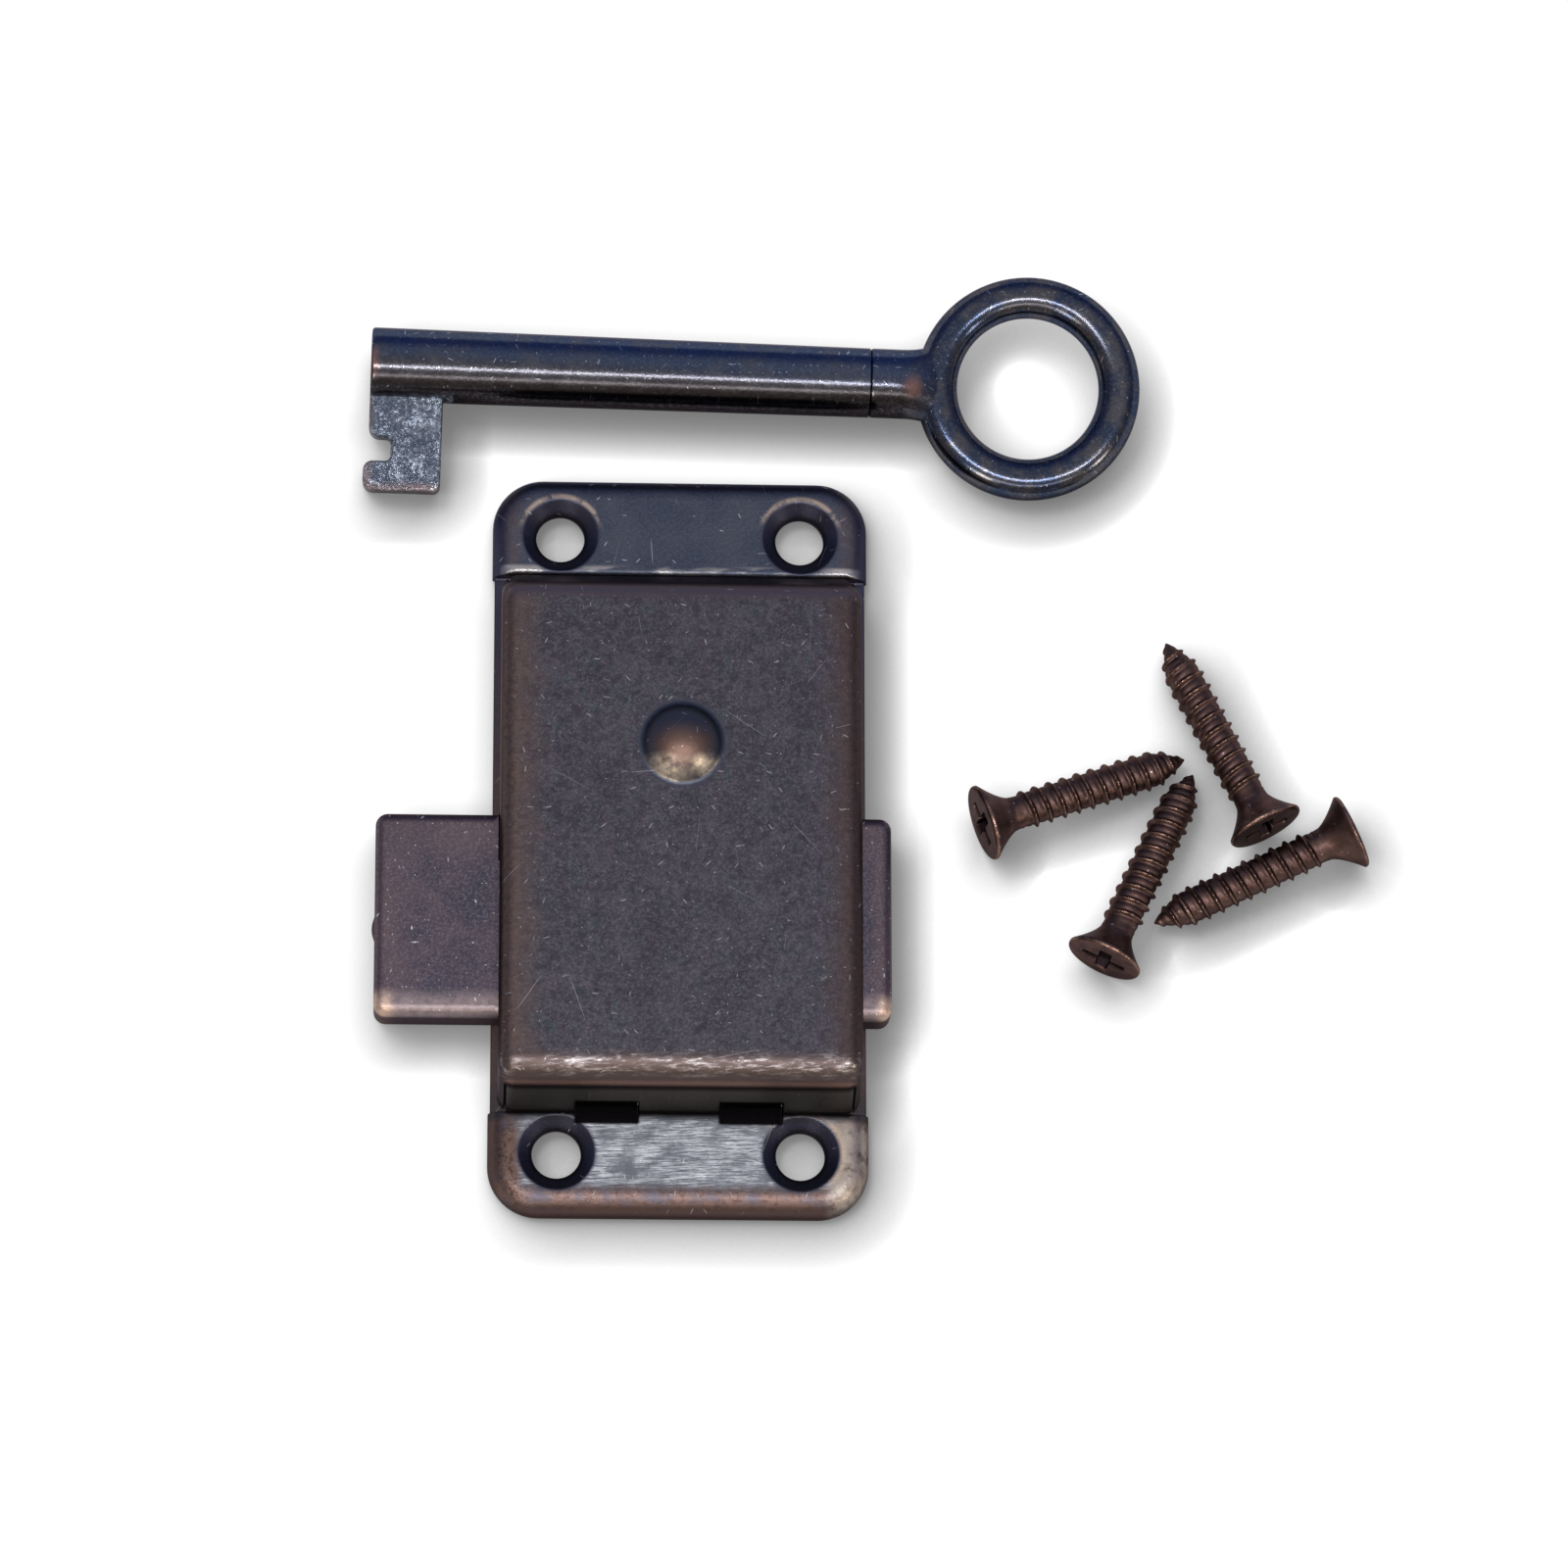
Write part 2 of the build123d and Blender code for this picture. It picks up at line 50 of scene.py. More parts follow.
# Camera
# A long lens above the lock, a little in front of it and leaning towards its left side.
camera = bpy.data.objects.new("camera", bpy.data.cameras.new("camera"))
bpy.context.scene.collection.objects.link(camera)
camera.location = (-22.788 * MM, -150.925 * MM, 616.04 * MM)
camera.rotation_euler = (radians(14.3199), radians(-2.9686), radians(-0.0601))
camera.data.sensor_width = 36.0
camera.data.lens = 165.0
camera.data.clip_start = 0.01
camera.data.clip_end = 10.0
bpy.context.scene.camera = camera
bpy.context.scene.view_settings.view_transform = "Standard"


# Works inside the case: drill pin, ring ward, two guide studs, leaf spring and its posts
# Turned and bent from plain steel, riveted into the plate and the cap, and left oiled; the spring is blued.
# They keep the shapes of the frame, because they are plain turned pieces, and get the finish of oiled steel.
def tone(red, green, blue):
    """A colour as a screen shows it, from 0 to 255, as the light that it stands for."""
    share = np.array([red, green, blue]) / 255
    light = np.where(share > 0.04045, ((share + 0.055) / 1.055) ** 2.4, share / 12.92)
    return (*light.tolist(), 1.0)


class Shade:
    """A socket in a node tree. Sums on it add Math nodes, and node() adds any other kind."""

    def __init__(self, tree, socket=None):
        self.tree = tree
        self.socket = socket

    def node(self, kind, settings=None, inputs=None, output=0):
        """Adds a node, sets it up, fills its inputs with values or links, and gives one of its outputs."""
        new = self.tree.nodes.new(kind)
        for name, value in (settings or {}).items():
            setattr(new, name, value)
        for name, value in (inputs or {}).items():
            if isinstance(value, Shade):
                self.tree.links.new(value.socket, new.inputs[name])
            else:
                new.inputs[name].default_value = value
        return Shade(self.tree, new.outputs[output])

    def math(self, operation, *values):
        return self.node("ShaderNodeMath", {"operation": operation}, dict(enumerate(values)))

    def __add__(self, other):
        return self.math("ADD", self, other)

    def __sub__(self, other):
        return self.math("SUBTRACT", self, other)

    def __rsub__(self, other):
        return self.math("SUBTRACT", other, self)

    def __mul__(self, other):
        return self.math("MULTIPLY", self, other)

    def __pow__(self, other):
        return self.math("POWER", self, other)

    def __abs__(self):
        return self.math("ABSOLUTE", self)

    def ramp(self, low, high):
        """0 below low and 1 above high, with a soft climb between; it falls where low is above high."""
        settings = {"interpolation_type": "SMOOTHSTEP"}
        bounds = {0: self, 1: min(low, high), 2: max(low, high)}
        climb = self.node("ShaderNodeMapRange", settings, bounds)
        return climb if low < high else 1 - climb

    def most(self, other):
        return self.math("MAXIMUM", self, other)

    def blend(self, first, second):
        """Colour that goes from first to second as this value goes from 0 to 1."""
        return self.node("ShaderNodeMix", {"data_type": "RGBA"}, {0: self, 6: first, 7: second}, 2)

    def noise(self, scale, detail, rough=0.5):
        """Cloudy noise over this place, scale lumps to the millimetre, about 0.5."""
        return self.node(
            "ShaderNodeTexNoise", {}, {"Vector": self, "Scale": scale, "Detail": detail, "Roughness": rough}
        )

    def drawn(self, angle, length):
        """This place drawn out by a factor along a line at an angle in degrees to X."""
        turn = {"Vector": self, "Rotation": (0.0, 0.0, radians(angle)), "Scale": (length, 1.0, 1.0)}
        return self.node("ShaderNodeMapping", {"vector_type": "TEXTURE"}, turn)


def place_of(tree):
    """The place on the piece in millimetres, as a vector and as its three parts."""
    spot = Shade(tree).node("ShaderNodeTexCoord", output=3)
    spot = spot.node("ShaderNodeVectorMath", {"operation": "SCALE"}, {0: spot, "Scale": 1 / MM})
    parts = [spot.node("ShaderNodeSeparateXYZ", {}, {0: spot}, axis) for axis in range(3)]
    return spot, parts


def reach(across, along):
    """Distance from the middle of a round mark, from its two parts."""
    return (across * across + along * along) ** 0.5


def dashes(spot, count, length, width, share):
    """Short thin lines on what faces up, one in some of a pattern's cells, each at its cell's own angle."""
    cells = {"Vector": spot, "Scale": count}
    middle = spot.node("ShaderNodeTexVoronoi", {}, cells, 2)
    away = spot.node("ShaderNodeVectorMath", {"operation": "SUBTRACT"}, {0: middle, 1: spot})
    own = spot.node("ShaderNodeTexVoronoi", {}, cells, 1)
    angle = spot.node("ShaderNodeSeparateColor", {}, {0: own}) * (2 * pi)
    away = spot.node("ShaderNodeVectorRotate", {"rotation_type": "Z_AXIS"}, {"Vector": away, "Angle": angle})
    along = spot.node("ShaderNodeSeparateXYZ", {}, {0: away}, 0)
    across = spot.node("ShaderNodeSeparateXYZ", {}, {0: away}, 1)
    picked = spot.node("ShaderNodeSeparateColor", {}, {0: own}, 1).ramp(1.0 - share, 1.0)
    facing = spot.node("ShaderNodeNewGeometry", output="Normal")
    picked = picked * spot.node("ShaderNodeSeparateXYZ", {}, {0: facing}, 2).ramp(0.25, 0.7)
    return abs(along).ramp(length, length * 0.3) * abs(across).ramp(width, width * 0.3) * picked


def metal(name, paint, roughness, bump=0.02, soften=0.0):
    """A metal from paint(place, parts), which gives its colour, its shine from 0 to 1 and its height.

    bump is the depth of its relief, and soften the radius to which its edges look rounded.
    """
    made = bpy.data.materials.new(name)
    made.use_nodes = True
    tree = made.node_tree
    surface = tree.nodes["Principled BSDF"]
    spot, parts = place_of(tree)
    colour, shine, height = paint(spot, parts)
    relief = {"Height": height, "Strength": 1.0, "Distance": bump * MM}
    if soften:
        relief["Normal"] = spot.node("ShaderNodeBevel", {"samples": 6}, {"Radius": soften * MM})
    relief = spot.node("ShaderNodeBump", {}, relief)
    rough = roughness - shine * (roughness * 0.4) + (spot.noise(1.6, 4.0) - 0.5) * roughness * 0.3
    surface.inputs["Metallic"].default_value = 1.0
    surface.inputs["Specular Tint"].default_value = (0.5, 0.48, 0.5, 1.0)
    tree.links.new(colour.socket, surface.inputs["Base Color"])
    tree.links.new(rough.socket, surface.inputs["Roughness"])
    tree.links.new(relief.socket, surface.inputs["Normal"])
    return made


def oiled_steel(spot, parts):
    """Grey turned steel, with brown oil stains and the fine rings of the tool."""
    stain = spot.noise(0.5, 4.0).ramp(0.4, 0.7)
    colour = stain.blend(tone(150, 148, 146), tone(96, 84, 72))
    return colour, 1 - stain, spot.noise(9.0, 3.0)


def blued_steel(spot, parts):
    """Dark blue tempered steel, straw-brown where the blueing is thin."""
    thin = spot.noise(0.7, 3.0).ramp(0.5, 0.75)
    colour = thin.blend(tone(52, 58, 84), tone(104, 86, 66))
    return colour, thin, spot.noise(7.0, 3.0)


def coat(node, material):
    """Gives a node of the frame its own material in place of the plain one."""
    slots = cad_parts[node].data.materials
    slots.clear()
    slots.append(material)


steel = metal("oiled_steel", oiled_steel, 0.35)
for node in (
    "drill_pin", "ring_ward", "bolt_stud_left", "bolt_stud_right", "spring_post_left", "spring_post_right",
):
    coat(node, steel)
coat("detent_spring", metal("blued_steel", blued_steel, 0.3))


# Mounting plate
# Pressed from one steel sheet: raised ends with rolled edges, dimpled screw holes and a flat waist.
# Plated with copper, darkened to a blue-grey, and rubbed through on its rolled edges; the bright arcs round
# its dimples are painted highlights.
hole_x, hole_y = 10.65, 27.9
cap_foot = 24.2
tongue_x, tongue_half = 6.3, 2.75


def aged_plate(spot, parts):
    """Blue-grey dark copper, brushed bright on the low end, copper on its rims, painted highlights round its
    dimples and on its upper lip, painted shade in its dimples, notches, outer edges and at the cap's foot.
    """
    x, y, z = parts
    cloud = spot.noise(0.3, 4.0).ramp(0.35, 0.65)
    grain = spot.noise(4.0, 3.0, 0.7)
    colour = cloud.blend(tone(58, 64, 78), tone(70, 72, 84))
    colour = (grain.ramp(0.4, 0.7) * 0.35).blend(colour, tone(96, 100, 114))
    low_end = y.ramp(-24.0, -25.5) * y.ramp(-31.6, -30.2) * abs(x).ramp(14.9, 13.3)
    brushed = spot.drawn(1.5, 14.0).noise(9.0, 4.0, 0.7).ramp(0.38, 0.7)
    brushed = brushed * spot.noise(0.35, 5.0, 0.65).ramp(0.3, 0.6) * low_end
    colour = low_end.blend(colour, tone(98, 101, 108))
    colour = brushed.blend(colour, tone(218, 220, 226))
    rim = abs(x).ramp(12.9, 14.4).most(y.ramp(-30.4, -31.6)) * y.ramp(-18.0, -28.0)
    rim = (rim * 0.9 + abs(x).ramp(13.6, 14.8) * 0.3) * (spot.noise(0.7, 5.0).ramp(0.25, 0.6) * 0.7 + 0.3)
    colour = rim.blend(colour, tone(104, 84, 77))
    colour = (rim * spot.noise(1.6, 6.0, 0.75).ramp(0.52, 0.4) * 0.7).blend(colour, tone(58, 46, 44))
    pale = x.ramp(12.4, 14.0) * y.ramp(-24.0, -26.0) * spot.noise(0.8, 6.0, 0.7).ramp(0.2, 0.6)
    colour = pale.blend(colour, tone(158, 147, 138))
    # Painted shade on the outer rolled edges, brown at the low end, and navy at the top end as a painted
    # reflection.
    outer = abs(x).ramp(15.2, 16.2).most(abs(y).ramp(31.9, 32.9))
    outer_shade_colour = y.ramp(0.0, 30.0).blend(tone(78, 63, 60), tone(50, 53, 74))
    colour = (outer * 0.85 * (1 - pale * 0.8)).blend(colour, outer_shade_colour)
    # Painted highlights: bright arcs on the dimples' shoulders, above the upper holes and low on the lower
    # holes.
    hole = reach(abs(x) - hole_x, abs(y) - hole_y)
    arc = hole.ramp(3.3, 3.5) * hole.ramp(4.0, 3.55) * (y - hole_y).ramp(0.4, 2.4)
    low_arc = hole.ramp(3.3, 3.5) * hole.ramp(4.2, 3.6) * (x + y).ramp(-19.0, -15.5) * y.ramp(0.0, -20.0)
    arc = (arc + low_arc) * spot.noise(1.0, 4.0).ramp(0.3, 0.55)
    colour = arc.blend(colour, tone(176, 158, 142))
    # A bright line along the upper lip by the cap's top end: partly a rubbed edge, partly a painted
    # highlight.
    lip_rub_and_highlight = y.ramp(cap_foot, cap_foot + 0.3) * y.ramp(25.3, 24.9) * z.ramp(1.9, 2.3)
    lip_rub_and_highlight = lip_rub_and_highlight * (abs(x).ramp(11.0, 14.5) * 0.5 + spot.drawn(0.0, 4.0).noise(1.1, 5.0).ramp(0.46, 0.72) * 0.7)
    colour = lip_rub_and_highlight.blend(colour, tone(166, 162, 162))
    # Painted shade: darker blue in the dimples and near black down their holes.
    colour = hole.ramp(3.75, 3.2).blend(colour, tone(62, 63, 78))
    colour = (hole.ramp(2.6, 2.2) * 0.8).blend(colour, tone(34, 30, 34))
    # Painted shade on the flange where the cap's lower end stands on it.
    seat_shade = y.ramp(-25.3, -24.7) * y.ramp(-20.0, -24.0)
    colour = (seat_shade * 0.75).blend(colour, tone(52, 52, 56))
    # Painted shade: near black over the notches where the cap's tongues go down.
    notch_shade = abs(abs(x) - tongue_x).ramp(3.05, 2.6) * abs(y + 24.0).ramp(1.4, 1.15)
    colour = notch_shade.blend(colour, tone(14, 12, 14))
    nick = dashes(spot, 0.7, 0.3, 0.055, 0.25).most(dashes(spot, 0.3, 1.5, 0.04, 0.25) * 0.7)
    colour = (nick * (1 - notch_shade) * (1 - rim * 0.7) * 0.8).blend(colour, tone(188, 186, 190))
    return colour, brushed.most(lip_rub_and_highlight), grain - brushed * 0.2


coat("base_plate", metal("aged_plate", aged_plate, 0.4, 0.02, 0.3))


# Bolt
# A thick bar, cast and tumbled until its corners are round, that slides through windows in the cap's sides.
# Inside it has a recess and a talon notch for the bit, two guide slots, and two notches for the leaf spring.
def woven(points, around=False, keep=None):
    """A grid of points and the quads between its neighbours; around joins its last column to its first."""
    rows, columns = points.shape[:2]
    index = np.arange(rows * columns).reshape(rows, columns)
    if around:
        index = np.concatenate([index, index[:, :1]], axis=1)
    quads = np.stack([index[:-1, :-1], index[:-1, 1:], index[1:, 1:], index[1:, :-1]], axis=-1)
    return points.reshape(-1, 3), (quads if keep is None else quads[keep]).reshape(-1, 4)


def rounded(corners, radii, steps=6):
    """A closed outline with round corners: at each, an arc that touches both sides, as sines of its angle."""
    corners = np.asarray(corners, float)
    radii = np.broadcast_to(np.asarray(radii, float), len(corners))
    back = np.roll(corners, 1, axis=0) - corners
    ahead = np.roll(corners, -1, axis=0) - corners
    back /= np.linalg.norm(back, axis=1, keepdims=True)
    ahead /= np.linalg.norm(ahead, axis=1, keepdims=True)
    half = np.arccos(np.clip((back * ahead).sum(-1), -1, 1)) / 2
    middle = back + ahead
    middle /= np.linalg.norm(middle, axis=1, keepdims=True)
    centre = corners + middle * (radii / np.sin(half))[:, None]
    touch = (radii / np.tan(half))[:, None]
    share = np.linspace(0, 1, steps + 1)[None, :, None]
    sweep = (pi - 2 * half)[:, None, None]
    first = (corners + back * touch - centre)[:, None] * np.sin((1 - share) * sweep) / np.sin(sweep)
    second = (corners + ahead * touch - centre)[:, None] * np.sin(share * sweep) / np.sin(sweep)
    return (centre[:, None] + first + second).reshape(-1, 2)


def divided(outline, longest):
    """A closed outline with points added evenly along its sides, so that none is longer than longest."""
    ahead = np.roll(outline, -1, axis=0)
    parts = np.maximum(1, np.ceil(np.linalg.norm(ahead - outline, axis=1) / longest)).astype(int)
    index = np.repeat(np.arange(len(outline)), parts)
    share = ((np.arange(len(index)) - np.repeat(np.cumsum(parts) - parts, parts)) / parts[index])[:, None]
    return outline[index] * (1 - share) + ahead[index] * share


def inset(outline, distance):
    """A closed outline moved inwards: each point goes along the middle of its two sides' directions."""
    ahead = np.roll(outline, -1, axis=0) - outline
    ahead /= np.linalg.norm(ahead, axis=1, keepdims=True)
    inward = np.stack([-ahead[:, 1], ahead[:, 0]], axis=-1)
    both = inward + np.roll(inward, 1, axis=0)
    return outline + both * (distance * 2 / (both ** 2).sum(-1))[:, None]


def filled(loops):
    """Triangles over a flat area: the first loop is its edge, and the others are holes."""
    every = [Vector(point) for loop in loops for point in np.asarray(loop, float).tolist()]
    starts = np.cumsum([0] + [len(loop) for loop in loops]).tolist()
    rings = [list(range(first, last)) for first, last in zip(starts, starts[1:])]
    spots, _, faces, *_ = delaunay_2d_cdt(every, [], rings, 2, 1e-6)
    return np.array([tuple(spot) for spot in spots]), np.array(faces)


def raised(flat, height):
    """Points on a plane lifted to a height, one for all or one for each."""
    return np.concatenate([flat, np.broadcast_to(height, (*flat.shape[:-1], 1))], axis=-1)


def with_x(across, flat):
    """Points of a plane of Y and Z, or of Y alone, with X put before them, one for all or one for each."""
    return np.concatenate([np.broadcast_to(across, (*flat.shape[:-1], 1)), flat], axis=-1)


def bar(outline, holes, low, high, low_round, high_round, soft=1.0):
    """A thick plate: its outline goes round a lower edge, up a side and round an upper edge, and is filled.

    soft tells for each point of the outline what share of the upper rounding it gets.
    """
    turn = np.linspace(0, pi / 2, 6)
    straight = np.linspace(low + low_round, high - high_round, 7)[1:-1]
    insets = np.concatenate([low_round * (1 - np.sin(turn)), 0 * straight, high_round * (1 - np.cos(turn))])
    heights = np.concatenate([
        low + low_round * (1 - np.cos(turn)), straight, high + high_round * (np.sin(turn) - 1)
    ])
    rings = np.stack([raised(inset(outline, far * soft), height) for far, height in zip(insets, heights)])
    patches = [woven(rings, True)]
    for ring, height in ((rings[0], low), (rings[-1], high)):
        spots, faces = filled([ring[:, :2], *holes])
        patches.append((raised(spots, height), faces))
    patches += [woven(np.stack([raised(hole, low), raised(hole, high)]), True) for hole in holes]
    return patches


def walled(outer, inner):
    """A sheet with a thickness: its outer patches, the same moved inwards, and walls where it ends."""
    starts = np.cumsum([0] + [len(points) for points, faces in outer])
    points = np.concatenate([points for points, faces in outer])
    under = np.concatenate(inner)
    _, first, place = np.unique(np.round(points, 3), axis=0, return_index=True, return_inverse=True)
    faces = [place.ravel()[patch[1] + start] for start, patch in zip(starts, outer)]
    sides = [np.stack([face, np.roll(face, -1, axis=1)], axis=-1).reshape(-1, 2) for face in faces]
    sides, counts = np.unique(np.sort(np.concatenate(sides), axis=1), axis=0, return_counts=True)
    rim = sides[(counts == 1) & (sides[:, 0] != sides[:, 1])]
    both = np.concatenate([points[first], under[first]])
    rim = np.concatenate([rim, rim[:, ::-1] + len(first)], axis=1)
    return [(both, face) for face in faces] + [(both, face + len(first)) for face in faces] + [(both, rim)]


def made_of(name, patches, material, body, nodes, sharp=40, traits=None):
    """A welded mesh of patches of points and faces, which rides on a body and stands for its nodes.

    sharp is the angle in degrees above which an edge shades sharply, and traits are values for each point.
    """
    starts = np.cumsum([0] + [len(points) for points, faces in patches])
    points = np.concatenate([points for points, faces in patches]) * MM
    faces = [face for start, patch in zip(starts, patches) for face in (patch[1] + start).tolist()]
    mesh = bpy.data.meshes.new(name)
    mesh.from_pydata(points.tolist(), [], faces)
    for trait, values in (traits or {}).items():
        layer = mesh.attributes.new(trait, "FLOAT", "POINT")
        layer.data.foreach_set("value", values.astype(np.float32).ravel())
    work = bmesh.new()
    work.from_mesh(mesh)
    bmesh.ops.remove_doubles(work, verts=work.verts, dist=0.002 * MM)
    bmesh.ops.dissolve_degenerate(work, edges=work.edges, dist=0.001 * MM)
    bmesh.ops.recalc_face_normals(work, faces=work.faces)
    work.to_mesh(mesh)
    work.free()
    mesh.shade_smooth()
    mesh.set_sharp_from_angle(angle=radians(sharp))
    mesh.materials.append(material)
    piece = bpy.data.objects.new(name, mesh)
    bpy.context.scene.collection.objects.link(piece)
    smooth = piece.modifiers.new("shading", "WEIGHTED_NORMAL")
    smooth.keep_sharp = True
    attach(piece, body)
    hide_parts(*nodes)


def aged_bolt(spot, parts):
    """Purple-grey dark copper, paler along its lower edge and copper at its corner, both rubbed and a painted
    highlight, with painted shade on its top edge and lower sides, and with pale nicks.
    """
    x, y, z = parts
    grain = spot.noise(4.5, 3.0, 0.7)
    cloud = spot.noise(0.3, 5.0, 0.65).ramp(0.28, 0.72)
    colour = cloud.blend(tone(58, 58, 70), tone(82, 72, 80))
    warm = x.ramp(-22.5, -26.0).most(x.ramp(16.4, 17.4)).most(y.ramp(-3.5, -0.5)) * 0.5
    colour = warm.blend(colour, tone(98, 81, 82))
    colour = (grain.ramp(0.42, 0.68) * 0.65).blend(colour, tone(108, 99, 108))
    # Paler along the lower edge and copper at its corners: partly rubbed, partly a painted highlight.
    low = y.ramp(-13.9, -15.4)
    low = low * (spot.noise(1.4, 6.0, 0.75).ramp(0.3, 0.65) * 0.55 + 0.45)
    colour = (low * 0.85).blend(colour, tone(140, 126, 126))
    corner = low * x.ramp(-24.4, -26.0).most(x.ramp(16.8, 17.8))
    colour = (corner * spot.noise(1.2, 4.0).ramp(0.3, 0.5)).blend(colour, tone(190, 164, 146))
    # Painted shade: darker on the top edge and down the lower sides.
    edge = y.ramp(0.7, 1.5).most(z.ramp(4.6, 3.8) * 0.85)
    colour = edge.blend(colour, tone(56, 44, 52))
    nick = dashes(spot, 0.8, 0.22, 0.085, 0.16).most(dashes(spot, 1.5, 0.1, 0.05, 0.2) * 0.8)
    colour = nick.blend(colour, tone(216, 214, 218))
    return colour, nick - low * 0.5, spot.noise(2.2, 4.0) + grain * 0.6


bolt_throw = 5.7
nose_x, tail_x, low_y, high_y = -26.7, 18.5, -16.45, 1.65
bolt_low, bolt_high = 1.1, 5.5
outer_round, inner_round = 1.05, 0.2
lower_edge, upper_edge = 0.15, 0.95
shelf_y, talon_left, talon_right = -2.65, -6.35, 0.65
notch_half, notch_depth = 1.2, 0.9
slot_x, slot_y, slot_radius = 7.4, -9.8, 2.1

# The recess clears the bit as it swings about the drill pin, at both ends of the throw
pin_y = 7.45
bit_reach, bit_half, bit_play = 11.4, 1.35, 0.2
bit_swing = hypot(bit_reach, bit_half)
swing_right = bit_swing * cos(asin((pin_y - high_y) / bit_swing)) + bit_play
swing_left = -swing_right - bolt_throw
talon_floor = pin_y - bit_swing - bit_play
bolt_corners = [
    (nose_x, low_y), (-bolt_throw - notch_half, low_y), (-bolt_throw, low_y + notch_depth),
    (-bolt_throw + notch_half, low_y), (-notch_half, low_y), (0, low_y + notch_depth), (notch_half, low_y),
    (tail_x, low_y), (tail_x, high_y), (swing_right, high_y), (swing_right, shelf_y), (talon_right, shelf_y),
    (talon_right, talon_floor), (talon_left, talon_floor), (talon_left, shelf_y), (swing_left, shelf_y),
    (swing_left, high_y), (nose_x, high_y),
]
bolt_radii = [outer_round] + [inner_round] * 6 + [outer_round] * 2 + [inner_round] * 8 + [outer_round]
bolt_outline = divided(rounded(bolt_corners, bolt_radii), 1.2)

# Only the two ends, which stand out of the case, are tumbled round
cased_from, cased_to = -15.9, 13.1
in_case = (bolt_outline[:, 0] >= cased_from) & (bolt_outline[:, 0] <= cased_to)
bolt_soft = np.where(in_case, 0.18, 1.0)
slot_turn = np.linspace(-pi / 2, pi / 2, 16)
slot_half = slot_radius * np.stack([np.cos(slot_turn), np.sin(slot_turn)], axis=-1) + (bolt_throw / 2, 0)
slot = np.concatenate([slot_half, -slot_half])
bolt_slots = [slot + (x - bolt_throw / 2, slot_y) for x in (-slot_x, slot_x)]
bolt_patches = bar(bolt_outline, bolt_slots, bolt_low, bolt_high, lower_edge, upper_edge, bolt_soft)
bolt_metal = metal("aged_bolt", aged_bolt, 0.42)
made_of("slide_bolt", bolt_patches, bolt_metal, "bolt", ["bolt"])

# A small cast nub on the nose
nub_half, nub_rise, nub_reach = 0.95, 1.1, 0.26
nub_y, nub_z = -8.4, 3.1
nub_across, nub_up = np.meshgrid(
    np.linspace(-nub_half, nub_half, 15), np.linspace(-nub_rise, nub_rise, 15), indexing="ij"
)
nub_bulge = np.cos(nub_across / nub_half * pi / 2) * np.cos(nub_up / nub_rise * pi / 2)
nub_x = nose_x + 0.01 - nub_reach * nub_bulge ** 0.6
nub = np.stack([nub_x, nub_across + nub_y, nub_up + nub_z], axis=-1)
nub_back = nub * (0, 1, 1) + (nose_x + 0.3, 0, 0)
made_of("bolt_nub", walled([woven(nub)], [nub_back.reshape(-1, 3)]), bolt_metal, "bolt", ["bolt"])


